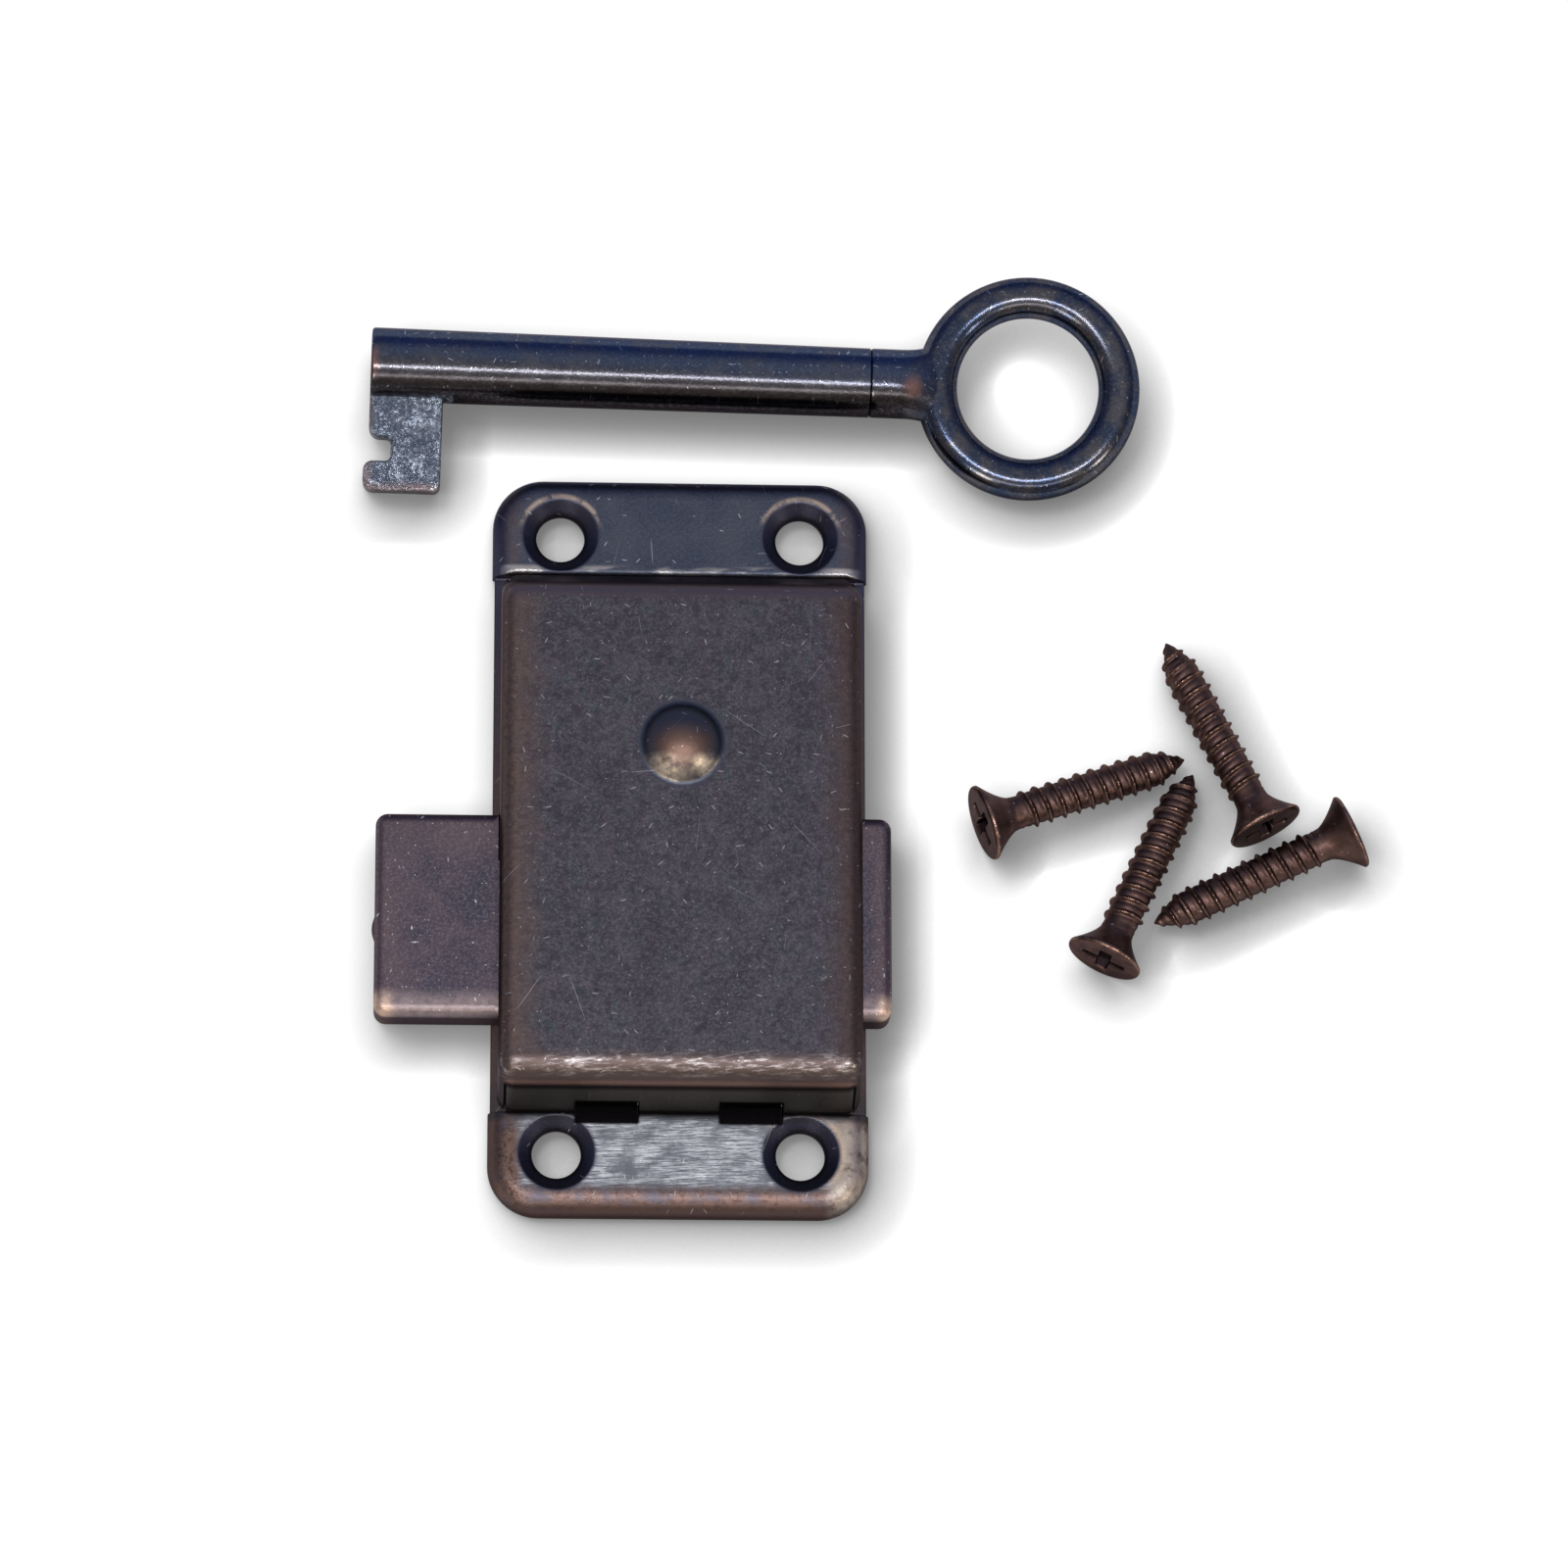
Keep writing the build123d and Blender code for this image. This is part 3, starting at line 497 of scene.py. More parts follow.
# Cap
# Folded from one sheet over the works: sloping ends, windows for the bolt, open corners and straight tongues.
# Its dome, pressed up from inside, seats the head of the drill pin.
def aged_cap(spot, parts):
    """Purple-grey dark copper, brown on its folds, bright along its lower fold where rubbed and as a painted
    highlight, a painted highlight low on its dome, and painted shade on its walls, round its dome and in its
    windows.
    """
    x, y, z = parts
    grain = spot.noise(4.5, 3.0, 0.7)
    cloud = spot.noise(0.25, 5.0, 0.65).ramp(0.38, 0.62)
    teal = spot.noise(0.55, 6.0, 0.7).ramp(0.52, 0.64)
    colour = cloud.blend(tone(60, 57, 65), tone(71, 67, 75))
    colour = (teal * 0.8).blend(colour, tone(60, 67, 71))
    colour = (grain.ramp(0.4, 0.7) * 0.65).blend(colour, tone(100, 96, 104))
    colour = (spot.noise(1.3, 6.0, 0.75).ramp(0.48, 0.62) * 0.6).blend(colour, tone(50, 48, 55))
    side = abs(x + spot.noise(0.35, 4.0) * 3.0 - 1.5).ramp(11.0, 16.6)
    # Brown on the side folds, painted lighter on the left than on the right as painted light.
    side_colour = x.ramp(-5.0, 5.0).blend(tone(94, 78, 72), tone(76, 61, 57))
    colour = side.blend(colour, side_colour)
    colour = (side * spot.noise(2.2, 6.0, 0.75).ramp(0.53, 0.4) * 0.5).blend(colour, tone(50, 42, 42))
    colour = (y.ramp(20.3, 21.5) * z.ramp(6.6, 7.4)).blend(colour, tone(104, 92, 94))
    low = (y + spot.noise(0.35, 3.0) - 0.5).ramp(-19.7, -20.9)
    colour = low.blend(colour, tone(79, 68, 66))
    # Bright scratches along the lower fold: rubbed wear and a painted highlight.
    rubbed_and_highlight = low * y.ramp(-22.5, -21.6) * spot.drawn(4.0, 4.0).noise(3.0, 5.0, 0.65).ramp(0.46, 0.7)
    rubbed_and_highlight = rubbed_and_highlight * spot.noise(0.22, 3.0).ramp(0.32, 0.64)
    colour = (rubbed_and_highlight * 0.9).blend(colour, tone(164, 158, 158))
    skirt = y.ramp(-22.3, -22.6)
    colour = skirt.blend(colour, tone(122, 98, 92))
    # Painted shade: a dark band across the lower end wall.
    colour = (skirt * z.ramp(6.6, 5.9)).blend(colour, tone(34, 29, 30))
    colour = (skirt * z.ramp(5.9, 5.2)).blend(colour, tone(72, 69, 68))
    # Painted shade on the side walls and the far end below the top.
    under = abs(x).ramp(15.1, 15.6).most(y.ramp(21.4, 22.4)) * z.ramp(8.5, 7.0)
    colour = (under * 0.7).blend(colour, tone(52, 44, 48))
    dome_y = y - pin_y
    dome = reach(x, dome_y)
    # Painted shade in a ring round the dome's foot, and painted light: browner on the dome's lower half.
    colour = dome.ramp(4.3, 3.6).blend(colour, tone(64, 67, 78))
    colour = (dome.ramp(3.3, 1.6) * dome_y.ramp(2.4, -0.4)).blend(colour, tone(98, 78, 70))
    # A painted highlight: two gold-white patches low on the dome.
    dome_highlight = dome.ramp(3.7, 3.3) * dome.ramp(1.3, 2.3) * dome_y.ramp(-0.9, -1.9)
    dome_highlight = dome_highlight * (spot.noise(0.8, 5.0, 0.6).ramp(0.3, 0.66) * 0.62)
    dome_highlight = dome_highlight * (abs(x - 0.5).ramp(0.0, 1.3) * 0.6 + 0.4)
    colour = dome_highlight.blend(colour, tone(228, 212, 190))
    nick = dashes(spot, 0.6, 0.35, 0.055, 0.25).most(dashes(spot, 1.2, 0.14, 0.05, 0.22) * 0.8)
    nick = nick.most(dashes(spot, 0.2, 2.6, 0.035, 0.4) * 0.7)
    colour = (nick * 0.75).blend(colour, tone(182, 178, 184))
    # Painted shade: near black over the windows and the tongues below them.
    window = abs(abs(x) - tongue_x).ramp(2.95, 2.72) * y.ramp(-22.0, -22.4) * z.ramp(4.1, 3.7)
    colour = window.blend(colour, tone(9, 8, 10))
    return colour, rubbed_and_highlight.most(nick).most(dome_highlight), grain + cloud * 0.4


sheet = 0.8
cap_top, cap_half, cap_turn = 8.3, 15.85, 1.5
slope_foot, slope_top = 2.5, 21.88
window_top = 3.8
slit_top, slit_x = 5.8, 15.2
tongue_y, tongue_top = 22.9, 4.7

# Its line over the lock, up one sloping end, along the top and down the other, and which way is out
end_corners = [
    (-cap_foot, sheet), (-cap_foot, slope_foot), (-slope_top, cap_top),
    (slope_top, cap_top), (cap_foot, slope_foot), (cap_foot, sheet),
]
end_arcs = rounded(end_corners, [0.3, 0.5, 2.2, 2.2, 0.5, 0.3], 12).reshape(6, 13, 2)
lean = (cap_foot - slope_top) / (cap_top - slope_foot)
on_slope = [[(height - slope_foot) * lean - cap_foot, height] for height in (window_top, slit_top)]
rise = np.concatenate([[[-cap_foot, sheet]], end_arcs[1], on_slope, end_arcs[2]])
top_half = -rise[-1, 0]
top_y = np.linspace(-top_half, top_half, 10)
over = np.concatenate([rise, raised(top_y[1:-1, None], cap_top), rise[::-1] * (-1, 1)])
step = np.diff(over, axis=0)
step /= np.linalg.norm(step, axis=1, keepdims=True)
outward = np.stack([-step[:, 1], step[:, 0]], axis=-1)
outward = np.concatenate([outward[:1], outward[:-1] + outward[1:], outward[-1:]])
outward /= np.linalg.norm(outward, axis=1, keepdims=True)

# Its line across the lock, with a fold on either side: x, and how far below the top line it is
cap_flat = cap_half - cap_turn
fold = np.radians([90, 80, 70, 60, 50, 40.54, 28.9, 20, 10, 0])
fold_x = cap_flat + cap_turn * np.sin(fold)
fold_drop = cap_turn * (1 - np.cos(fold))
near, far = tongue_x - tongue_half, tongue_x + tongue_half
cap_x = np.concatenate([-fold_x, [-far, -near, 0, near, far], fold_x[::-1]])
cap_drop = np.concatenate([fold_drop, np.zeros(5), fold_drop[::-1]])
skin = with_x(cap_x[:, None], over[:, None] - outward[:, None] * cap_drop[None, :, None])
tighter = (cap_turn - sheet) / cap_turn
lining_x = np.sign(cap_x) * np.minimum(abs(cap_x), cap_flat + (abs(cap_x) - cap_flat) * tighter)
lining = over[:, None] - outward[:, None] * (sheet + cap_drop[None, :, None] * tighter)
lining[..., 1] = np.where(over[:, None, 1] < sheet + 0.01, sheet, lining[..., 1])
lining = with_x(lining_x[:, None], lining)

# Quads left out of it: the corner slits, the windows over the notches, and the flat top
cell_x = abs((cap_x[1:] + cap_x[:-1]) / 2)[None]
cell = (over[1:] + over[:-1]) / 2
cell_y, cell_z = cell[:, :1], cell[:, 1:]
slit = (abs(cell_x - slit_x) < 0.12) & (cell_z < slit_top)
window = (abs(cell_x - tongue_x) < tongue_half) & (cell_z < window_top) & (cell_y < 0)
top = (cell_x < cap_flat) & (abs(cell_y) < top_half) & (cell_z > cap_top - 0.01)
cap_patches = [woven(skin, keep=~(slit | window | top))]
cap_lining = [lining.reshape(-1, 3)]

# The flat top has a round hole, filled by the dome: a fillet that meets a part of a ball at its steepest
dome_foot, dome_fillet, dome_ball, dome_top = 3.85, 0.6, 4.105, 10.3
round_angle = np.linspace(0, 2 * pi, 72, endpoint=False)
circle = np.stack([np.cos(round_angle), np.sin(round_angle)], axis=-1)
level_x = cap_x[9:16, None]
level_y = top_y[:, None]
top_edge = np.concatenate([
    raised(level_x, -top_half), with_x(cap_flat, level_y[1:]),
    raised(level_x[::-1][1:], top_half), with_x(-cap_flat, level_y[::-1][1:-1]),
])
spots, faces = filled([top_edge, circle * dome_foot + (0, pin_y)])
cap_patches.append((raised(spots, cap_top), faces))
cap_lining.append(raised(spots, cap_top - sheet))
steepest = radians(54.91)
foot_turn = np.linspace(0, steepest, 8)
ball_turn = np.linspace(steepest, 0, 16)[1:]
dome_reach = np.concatenate([dome_foot - dome_fillet * np.sin(foot_turn), dome_ball * np.sin(ball_turn)])
dome_rise = np.concatenate([
    cap_top + dome_fillet * (1 - np.cos(foot_turn)), dome_top - dome_ball * (1 - np.cos(ball_turn))
])
dome = raised(circle[None] * dome_reach[:, None, None] + (0, pin_y), dome_rise[:, None, None])
cap_patches.append(woven(dome, True))
cap_lining.append((dome * (1, 1, 0) + (0, 0, cap_top - sheet)).reshape(-1, 3))

# Both sides, each with its window for the bolt
side_play, top_play = 0.1, 0.2
bolt_window = [
    (high_y + side_play, sheet), (high_y + side_play, bolt_high + top_play),
    (low_y - side_play, bolt_high + top_play), (low_y - side_play, sheet),
]
spots, faces = filled([np.concatenate([skin[:, 0, 1:], bolt_window])])
for way in (-1, 1):
    cap_patches.append((with_x(way * cap_half, spots), faces))
    cap_lining.append(with_x(way * (cap_half - sheet), spots))
cap_metal = metal("aged_cap", aged_cap, 0.42)
made_of("folded_cap", walled(cap_patches, cap_lining), cap_metal, "case", ["case_cap"], 50)

# Four tongues, which go down through the plate
tongue_corners = np.array([(-1, -1), (1, -1), (1, 1), (-1, 1)]) * (tongue_half, sheet / 2)
tongue = rounded(tongue_corners, 0.15)
tongues = []
for x in (-tongue_x, tongue_x):
    for y in (-tongue_y, tongue_y):
        tongues += bar(tongue + (x, y), [], 0.0, tongue_top, 0.1, 0.1)
made_of("cap_tongues", tongues, cap_metal, "case", ["case_cap"])


# Key
# A cast bow with its neck, a drilled shank pressed onto it, and a bit let into the shank.
# Burnished blue-black, brown where hands have rubbed it; its upper side is painted bluer and its lower side
# darker, as painted reflection and shade.
key_x, key_y, key_yaw = -27.65, 43.3, radians(-1.4)
barrel_radius, neck_radius, bore_radius = 3.3, 3.1, 1.65
shank_length, bore_depth, socket_end = 44.55, 16.0, 38.4


def lathe(along, radii):
    """A half section turned about an axis: (along, r cos a, r sin a) for 96 angles a of a full turn."""
    angle = np.linspace(0.0, 2 * pi, 96, endpoint=False)
    along = np.broadcast_to(along[:, None], (len(along), 96))
    return np.stack([along, radii[:, None] * np.cos(angle), radii[:, None] * np.sin(angle)], axis=-1)


def aged_key(spot, parts):
    """Burnished blue-black, painted bluer above and browner and darker below as reflection and shade, paler
    and hammered on the bit, a copper-tinted painted highlight where the neck ends.
    """
    x, y, z = parts
    grain = spot.noise(4.0, 3.0, 0.7)
    cloud = spot.noise(0.4, 5.0, 0.65).ramp(0.42, 0.66)
    # Painted reflection and shade: bluer on the upper side, greyer below.
    side = y - key_y + (x - key_x) * 0.036
    colour = side.ramp(-0.9, 0.6).blend(tone(58, 56, 60), tone(54, 66, 90))
    colour = x.ramp(20.0, 23.0).blend(colour, cloud.blend(tone(46, 55, 74), tone(70, 68, 74)))
    colour = (cloud * 0.5).blend(colour, tone(78, 78, 82))
    # Painted shade: darker on the shank's lower flanks and on the bow's lower parts.
    colour = (z.ramp(6.0, 4.9) * side.ramp(0.0, -1.0) * x.ramp(20.5, 19.5)).blend(colour, tone(38, 34, 36))
    colour = (z.ramp(4.8, 3.2) * side.ramp(1.0, 2.4) * x.ramp(20.5, 19.5)).blend(colour, tone(36, 42, 58))
    colour = (z.ramp(4.7, 3.5) * x.ramp(19.5, 20.5) * side.ramp(-1.0, 2.0)).blend(colour, tone(36, 40, 54))
    colour = (grain.ramp(0.45, 0.75) * 0.3).blend(colour, tone(120, 122, 130))
    bit = y.ramp(40.3, 39.9) * x.ramp(-20.2, -20.6)
    hammered = (spot.noise(0.7, 3.0) * 0.8 + spot.noise(3.0, 5.0, 0.7) * 1.2).ramp(0.84, 1.2)
    colour = bit.blend(colour, hammered.blend(tone(66, 74, 88), tone(144, 153, 166)))
    tip = bit * y.ramp(32.7, 32.1).most(x.ramp(-27.2, -27.9))
    colour = (tip * 0.45).blend(colour, tone(140, 118, 112))
    # A copper-tinted painted highlight where the neck ends, and copper at the shank's tip.
    copper = reach(x - 20.6, y - 41.2).ramp(1.3, 0.0)
    copper = copper.most(x.ramp(-26.6, -27.6) * side.ramp(-2.4, -0.6) * side.ramp(1.4, 0.0) * 0.7)
    colour = (copper * 0.5).blend(colour, tone(156, 112, 100))
    nick = dashes(spot, 0.7, 0.35, 0.055, 0.3).most(dashes(spot, 1.4, 0.12, 0.05, 0.3))
    colour = (nick * 0.8).blend(colour, tone(170, 174, 180))
    dull = z.ramp(4.8, 3.2) * x.ramp(20.5, 19.5) * (1 - bit)
    return colour, bit * -0.8 - dull * 2.5, grain * 0.3 + bit * hammered * 2.0


key_metal = metal("aged_key", aged_key, 0.18, 0.025)
key_tip = np.array([key_x, key_y, barrel_radius])
key_roll = asin(barrel_radius / bit_swing) - asin(bit_half / bit_swing)
key_turn = np.array([
    [cos(key_yaw), -sin(key_yaw), 0], [sin(key_yaw), cos(key_yaw), 0], [0, 0, 1],
]) @ [[1, 0, 0], [0, cos(key_roll), -sin(key_roll)], [0, sin(key_roll), cos(key_roll)]]


def on_key(points):
    """Carries a place measured from the key's tip, along its axis, to where the key lies."""
    return points @ key_turn.T + key_tip


# The shank: up the bore, out round the tip, along the barrel to the seam and into the socket for the bow
tip_round, seam_edge = 0.3, 0.12
tip_turn = np.linspace(0.0, pi / 2, 6)
shank_along = np.concatenate([
    [bore_depth, bore_depth, 0.8], tip_round * (1 - np.sin(tip_turn)), tip_round * (1 - np.cos(tip_turn[1:])),
    np.linspace(1.0, shank_length - 0.25, 60), shank_length - seam_edge * np.cos(tip_turn),
    [shank_length, socket_end, socket_end],
])
shank_radius = np.concatenate([
    [0.0, bore_radius, bore_radius], bore_radius + tip_round * (1 - np.cos(tip_turn)),
    barrel_radius - tip_round * (1 - np.sin(tip_turn[1:])), np.linspace(barrel_radius, neck_radius, 60),
    neck_radius - seam_edge * (1 - np.cos(tip_turn)), [bore_radius, bore_radius, 0.0],
])
shank = lathe(shank_along, shank_radius)
made_of("shank", [woven(on_key(shank), True)], key_metal, "key", ["key_shank"])

# The bow: a round wire bent into a ring, and a neck that spreads and thins into it
ring_middle, ring_radius, wire_radius = 58.7, 8.2, 1.85
ring_angle, wire_angle = np.meshgrid(
    np.linspace(0, 2 * pi, 160, endpoint=False), np.linspace(0, 2 * pi, 48, endpoint=False), indexing="ij"
)
ring_reach = ring_radius + wire_radius * np.cos(wire_angle)
ring = np.stack([
    ring_middle - ring_reach * np.cos(ring_angle), ring_reach * np.sin(ring_angle),
    wire_radius * np.sin(wire_angle),
], axis=-1)
ring = np.concatenate([ring, ring[:1]])
tenon_end, tenon_radius = socket_end + 0.2, 1.6
seam = shank_length + 0.01
neck_end, spread_from, thin_from = 51.0, 47.2, 46.2
spread_by, thin_by = 0.9, 1.5
neck_far = np.linspace(45.2, neck_end, 24)
spread_share = np.clip((neck_far - spread_from) / (neck_end - spread_from), 0, 1)
thin_share = np.clip((neck_far - thin_from) / (neck_end - thin_from), 0, 1)
neck_along = np.concatenate([
    [tenon_end, tenon_end, seam, seam, seam + 0.06, seam + 0.24], neck_far, [neck_end]
])
neck_start = [0.0, tenon_radius, tenon_radius, neck_radius - 0.15, neck_radius - 0.05, neck_radius]
neck_spread = np.concatenate([neck_start, neck_radius + spread_by * spread_share ** 2.5, [0.0]])
neck_height = np.concatenate([neck_start, neck_radius - thin_by * thin_share ** 1.6, [0.0]])
neck = np.stack([
    np.broadcast_to(neck_along[:, None], (len(neck_along), len(round_angle))),
    neck_spread[:, None] * np.cos(round_angle), neck_height[:, None] * np.sin(round_angle),
], axis=-1)
made_of("bow", [woven(on_key(ring), True), woven(on_key(neck), True)], key_metal, "key", ["key_bow"])

# The bit: its root is let into the shank, and one cut passes the ring ward
bit_root, bit_width, bit_toe = -2.0, 6.5, -0.4
cut_depth, cut_near, cut_far = 2.0, -6.65, -8.75
bit_corners = [
    (0, bit_root), (0, cut_near), (cut_depth, cut_near), (cut_depth, cut_far),
    (bit_toe, cut_far), (bit_toe, -bit_reach), (bit_width, -bit_reach), (bit_width, bit_root),
]
bit_outline = rounded(bit_corners, [0.35, 0.95, 0.5, 0.5, 0.85, 0.85, 0.7, 0.35])
bit_patches = bar(bit_outline, [], -bit_half, bit_half, 0.3, 0.3)
bit_patches = [(on_key(points), faces) for points, faces in bit_patches]
made_of("bit", bit_patches, key_metal, "key", ["key_bit"])


# Wood screws
# Rolled steel with a countersunk head and a cross recess, copper plated and darkened to red-brown.
# The four lie loose beside the lock, each on the rim of its head and on its thread.
wing_half, wing_reach, wing_depth, wing_slope = 0.58, 1.98, 1.75, 0.1
half_lines = np.array([
    0, 0.25, wing_half - wing_slope, wing_half, 0.7, 0.9, 1.15, 1.4, 1.65, 1.8, 1.95, 2.05, 2.2
])
lines = np.concatenate([-half_lines[:0:-1], half_lines])
face_x, face_y = np.meshgrid(lines, lines, indexing="ij")


def wing(along, across):
    """Depth of one wing of the cross: steep sides, a floor that falls towards the middle, rounded ends."""
    side = np.clip((wing_half - abs(across)) / wing_slope, 0, 1)
    end = np.clip((wing_reach - abs(along)) / 0.2, 0, 1)
    return side * end * (wing_depth - 0.5 * abs(along))


recess = np.stack([face_x, face_y, np.maximum(wing(face_x, face_y), wing(face_y, face_x))], axis=-1)

# The edge of that grid, and how each of its points is carried out to the round head
side, full = lines[:-1, None], lines[-1]
edge = np.concatenate([raised(side, -full), with_x(full, side), raised(-side, full), with_x(-full, -side)])
turn = np.arctan2(edge[:, 1], edge[:, 0])
turned = np.stack([np.cos(turn), np.sin(turn)], axis=-1)
head_reach, rim_round = 3.4, 0.3
rim_turn = np.linspace(0, pi / 2, 6)
flat_reach = head_reach - rim_round
share = np.linspace(0, 1, 5)[:-1, None, None]
face_ring = raised(edge * (1 - share) + flat_reach * turned * share, 0.0)

# Along the screw: the head's rim and flare, the thread, and the point
core_radius, screw_length = 1.5, 19.5
flare_reach, flare_start, flare_length = 3.38, 0.4, 2.5
thread_start, thread_step, thread_steps = 2.98, 0.075, 220
pitch, ridge_width, ridge_height, swell = 1.35, 0.15, 0.46, 0.09
flare = np.linspace(0, 1, 18)[1:]
head_along = np.concatenate([
    rim_round * (1 - np.cos(rim_turn)), [flare_start], flare_start + flare_length * flare
])
head_radius = np.concatenate([
    flat_reach + rim_round * np.sin(rim_turn), [flare_reach],
    core_radius + (flare_reach - core_radius) * (1 - flare) ** 1.4,
])
thread_along = thread_start + thread_step * np.arange(thread_steps)
taper = np.clip((screw_length - thread_along) / 3.0, 0, 1) ** 0.75
core = (core_radius - 0.08 * np.clip((thread_along - thread_start) / 0.62, 0, 1)) * taper
phase = (thread_along[:, None] / pitch - turn / (2 * pi) + 0.5) % 1.0 - 0.5
grown = np.clip((thread_along - 3.3) / 0.9, 0, 1) * np.clip((19.3 - thread_along) / 1.6, 0, 1) ** 0.6
ridge = np.exp(-((phase / ridge_width) ** 2))
thread_radius = core[:, None] + grown[:, None] * (ridge_height * ridge - swell * np.cos(2 * pi * phase))

# It rests on the rim of its head and on the last full ridge, and nothing of it goes below that line
crest_radius, rim_along = 1.8, 0.35
last_ridge = 3.9 + 8 * pitch + 0.475
fall = (head_reach - crest_radius) / (last_ridge - rim_along)
line_of_rest = crest_radius - (thread_along - last_ridge) * fall
thread_radius = np.minimum(thread_radius, np.maximum(line_of_rest, 0)[:, None])
rows_along = np.concatenate([head_along, thread_along, [screw_length]])
head_rows = np.broadcast_to(head_radius[:, None], (len(head_radius), len(edge)))
rows_radius = np.concatenate([head_rows, thread_radius, np.zeros((1, len(edge)))])
body = raised(rows_radius[..., None] * turned, rows_along[:, None, None])
skirt = np.concatenate([face_ring, body])

# How far each point is on a crest, from 1, down to -1 in the depth of the cross
rim_crest = np.exp(-((head_along - 0.22) / 0.3) ** 2)[:, None]
crest_skirt = np.concatenate([
    np.zeros((len(face_ring), len(edge))), np.broadcast_to(rim_crest, head_rows.shape),
    grown[:, None] * ridge, np.zeros((1, len(edge))),
])
crest_recess = -np.clip(recess[..., 2] / 0.6, 0, 1)
crest = np.concatenate([crest_recess.ravel(), crest_skirt.ravel()])


def aged_screw(spot, parts):
    """Red-brown darkened copper, bright on the crests of the thread and on the rim of the head, with painted
    shade down in the cross.
    """
    crest = spot.node("ShaderNodeAttribute", {"attribute_name": "crest"}, output=2)
    cloud = spot.noise(0.9, 4.0).ramp(0.35, 0.7)
    colour = cloud.blend(tone(70, 54, 51), tone(90, 69, 64))
    rub = crest.ramp(0.75, 1.0) * spot.noise(1.5, 3.0).ramp(0.25, 0.6)
    colour = (rub * 0.5).blend(colour, tone(142, 114, 99))
    # Painted shade: near black down in the cross recess.
    colour = crest.ramp(0.0, -0.35).blend(colour, tone(24, 18, 20))
    nick = dashes(spot, 1.2, 0.12, 0.07, 0.25)
    colour = (nick * crest.ramp(-0.3, 0.0)).blend(colour, tone(168, 158, 156))
    return colour, rub, spot.noise(3.0, 4.0)


# Where each head lies, and the heading of its point in degrees from +X
screw_metal = metal("aged_screw", aged_screw, 0.42)
lying = [(26.6, 1.7, 19.8), (51.8, 1.55, 116.0), (37.15, -10.55, 64.3), (59.5, 1.45, 204.8)]
dip = atan2(head_reach - crest_radius, last_ridge - rim_along)
for number, (head_x, head_y, heading) in enumerate(lying, 1):
    ahead = radians(heading)
    across = np.array([-sin(ahead), cos(ahead), 0])
    axis = np.array([cos(ahead) * cos(dip), sin(ahead) * cos(dip), -sin(dip)])
    screw_turn = np.stack([across, np.cross(axis, across), axis], axis=-1)
    head = np.array([head_x, head_y, head_reach * cos(dip) + rim_along * sin(dip)])
    patches = [woven(recess @ screw_turn.T + head), woven(skirt @ screw_turn.T + head, True)]
    name = f"wood_screw_{number}"
    made_of(name, patches, screw_metal, "case", [f"screw_{number}"], 50, {"crest": crest})


# Floor and light
# A floor that glows white by itself, and less beside and under what stands on it, so it keeps a shadow.
# A soft sun from the upper left, a strip and small lamps over the front, and a room white at its horizon.
floor_mesh = bpy.data.meshes.new("floor")
floor_mesh.from_pydata([(-2, -2, 0), (2, -2, 0), (2, 2, 0), (-2, 2, 0)], [], [(0, 1, 2, 3)])
floor = bpy.data.objects.new("floor", floor_mesh)
bpy.context.scene.collection.objects.link(floor)
floor.location = (0, 0, -0.02 * MM)
floor_paint = bpy.data.materials.new("floor_paint")
floor_paint.use_nodes = True
floor_tree = floor_paint.node_tree
floor_surface = floor_tree.nodes["Principled BSDF"]
by_eye, in_metal, in_glass = [
    Shade(floor_tree).node("ShaderNodeLightPath", output=ray)
    for ray in ("Is Camera Ray", "Is Glossy Ray", "Is Transmission Ray")
]
seen = by_eye.most(in_metal).most(in_glass)
towards_light = seen.node("ShaderNodeCombineXYZ", {}, {0: -0.54, 1: 0.54, 2: 0.65})
around = {"Distance": 4.8 * MM, "Normal": towards_light}
open_air = seen.node("ShaderNodeAmbientOcclusion", {}, around, 1) ** 3.2 * 0.85 + 0.15
open_air = seen.node("ShaderNodeCombineColor", {}, {0: open_air, 1: open_air, 2: open_air})
glow = seen.blend((0.2, 0.2, 0.21, 1.0), open_air)
floor_tree.links.new(glow.socket, floor_surface.inputs["Emission Color"])
floor_surface.inputs["Emission Strength"].default_value = 1.0
floor_surface.inputs["Base Color"].default_value = (0.07, 0.07, 0.07, 1.0)
floor_surface.inputs["Roughness"].default_value = 1.0
floor_surface.inputs["Specular IOR Level"].default_value = 0.0
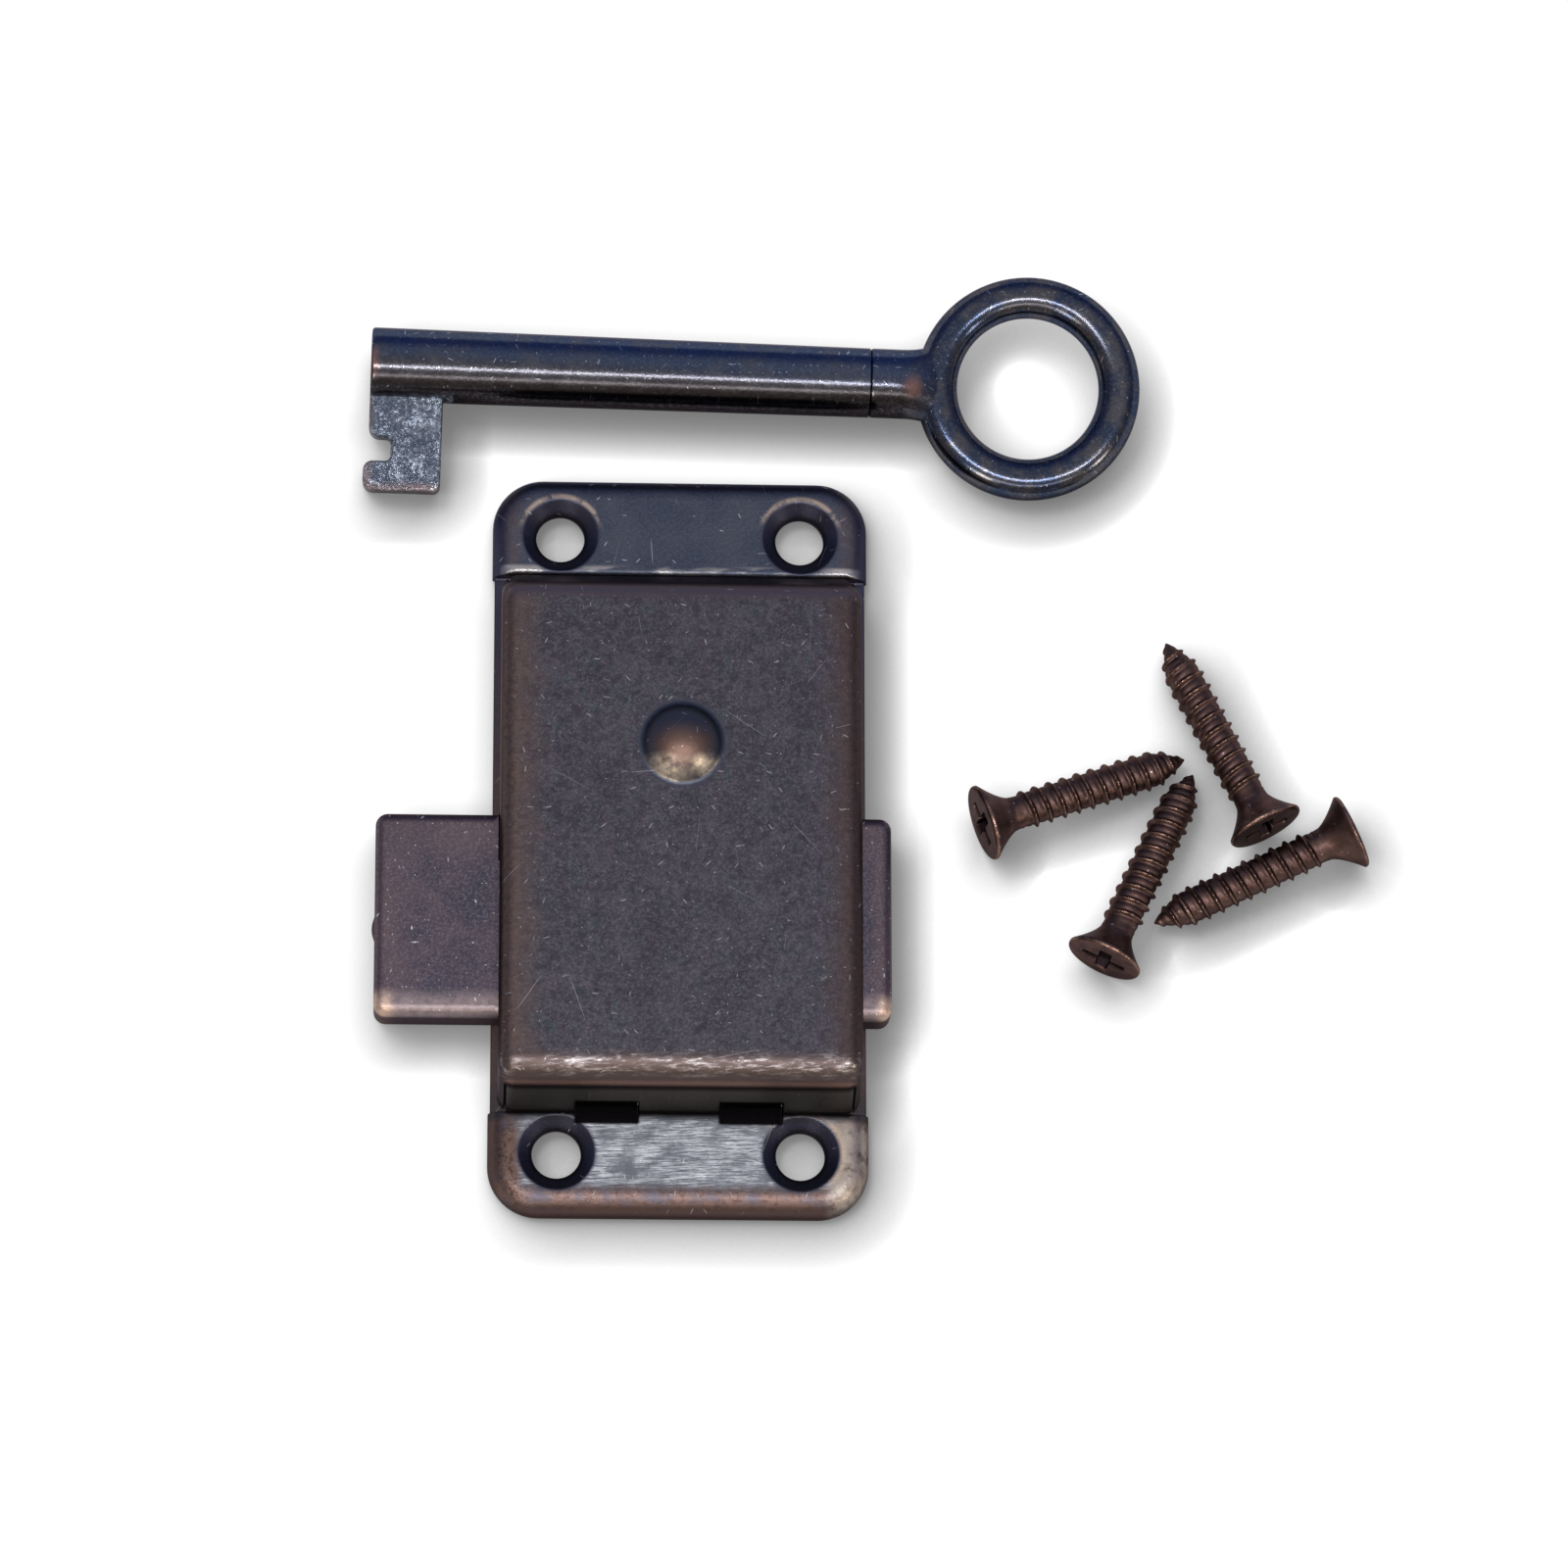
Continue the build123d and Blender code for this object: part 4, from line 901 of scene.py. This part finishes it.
floor_mesh.materials.append(floor_paint)

sun = bpy.data.objects.new("sun", bpy.data.lights.new("sun", "SUN"))
bpy.context.scene.collection.objects.link(sun)
sun.data.energy = 3.5
sun.data.angle = radians(20.0)
sun.rotation_euler = Vector((0.40, -0.40, -1.0)).to_track_quat("-Z", "Y").to_euler()
sun.visible_glossy = False


def lamp(name, place, size, brightness, colour):
    """A rectangular lamp, in metres, that faces the lock. Metal shows it, and it throws no shadow."""
    light = bpy.data.lights.new(name, "AREA")
    light.shape = "RECTANGLE"
    light.size, light.size_y = size
    light.energy = brightness * pi * size[0] * size[1]
    light.color = colour
    light.use_shadow = False
    holder = bpy.data.objects.new(name, light)
    bpy.context.scene.collection.objects.link(holder)
    holder.location = place
    holder.rotation_euler = (-Vector(place)).to_track_quat("-Z", "Y").to_euler()
    holder.visible_diffuse = False


lamp("over_strip", (0.0, -0.33, 0.95), (0.9, 0.04), 52.0, (0.97, 0.98, 1.0))
lamp("front_bar", (0.0, -0.74, 0.66), (1.0, 0.12), 5.0, (1.0, 0.93, 0.86))
lamp("front_left", (-0.32, -0.75, 0.56), (0.14, 0.14), 24.0, (1.0, 0.92, 0.78))
lamp("front_right", (0.78, -0.6, 0.5), (0.14, 0.14), 24.0, (1.0, 0.92, 0.78))

world = bpy.data.worlds.new("room")
bpy.context.scene.world = world
world.use_nodes = True
sky_tree = world.node_tree
way = Shade(sky_tree).node("ShaderNodeTexCoord")
along_sky, up_sky = [way.node("ShaderNodeSeparateXYZ", {}, {0: way}, axis) for axis in (1, 2)]
low_sky = along_sky.ramp(-0.7, 0.7).blend((0.5, 0.42, 0.36, 1.0), (0.18, 0.24, 0.5, 1.0))
sky = up_sky.ramp(0.4, 0.97).blend(low_sky, (0.85, 0.84, 0.86, 1.0))
sky = up_sky.ramp(0.16, 0.06).blend(sky, (1.0, 1.0, 1.0, 1.0))
sky_tree.links.new(sky.socket, sky_tree.nodes["Background"].inputs["Color"])
sky_tree.nodes["Background"].inputs["Strength"].default_value = 1.0
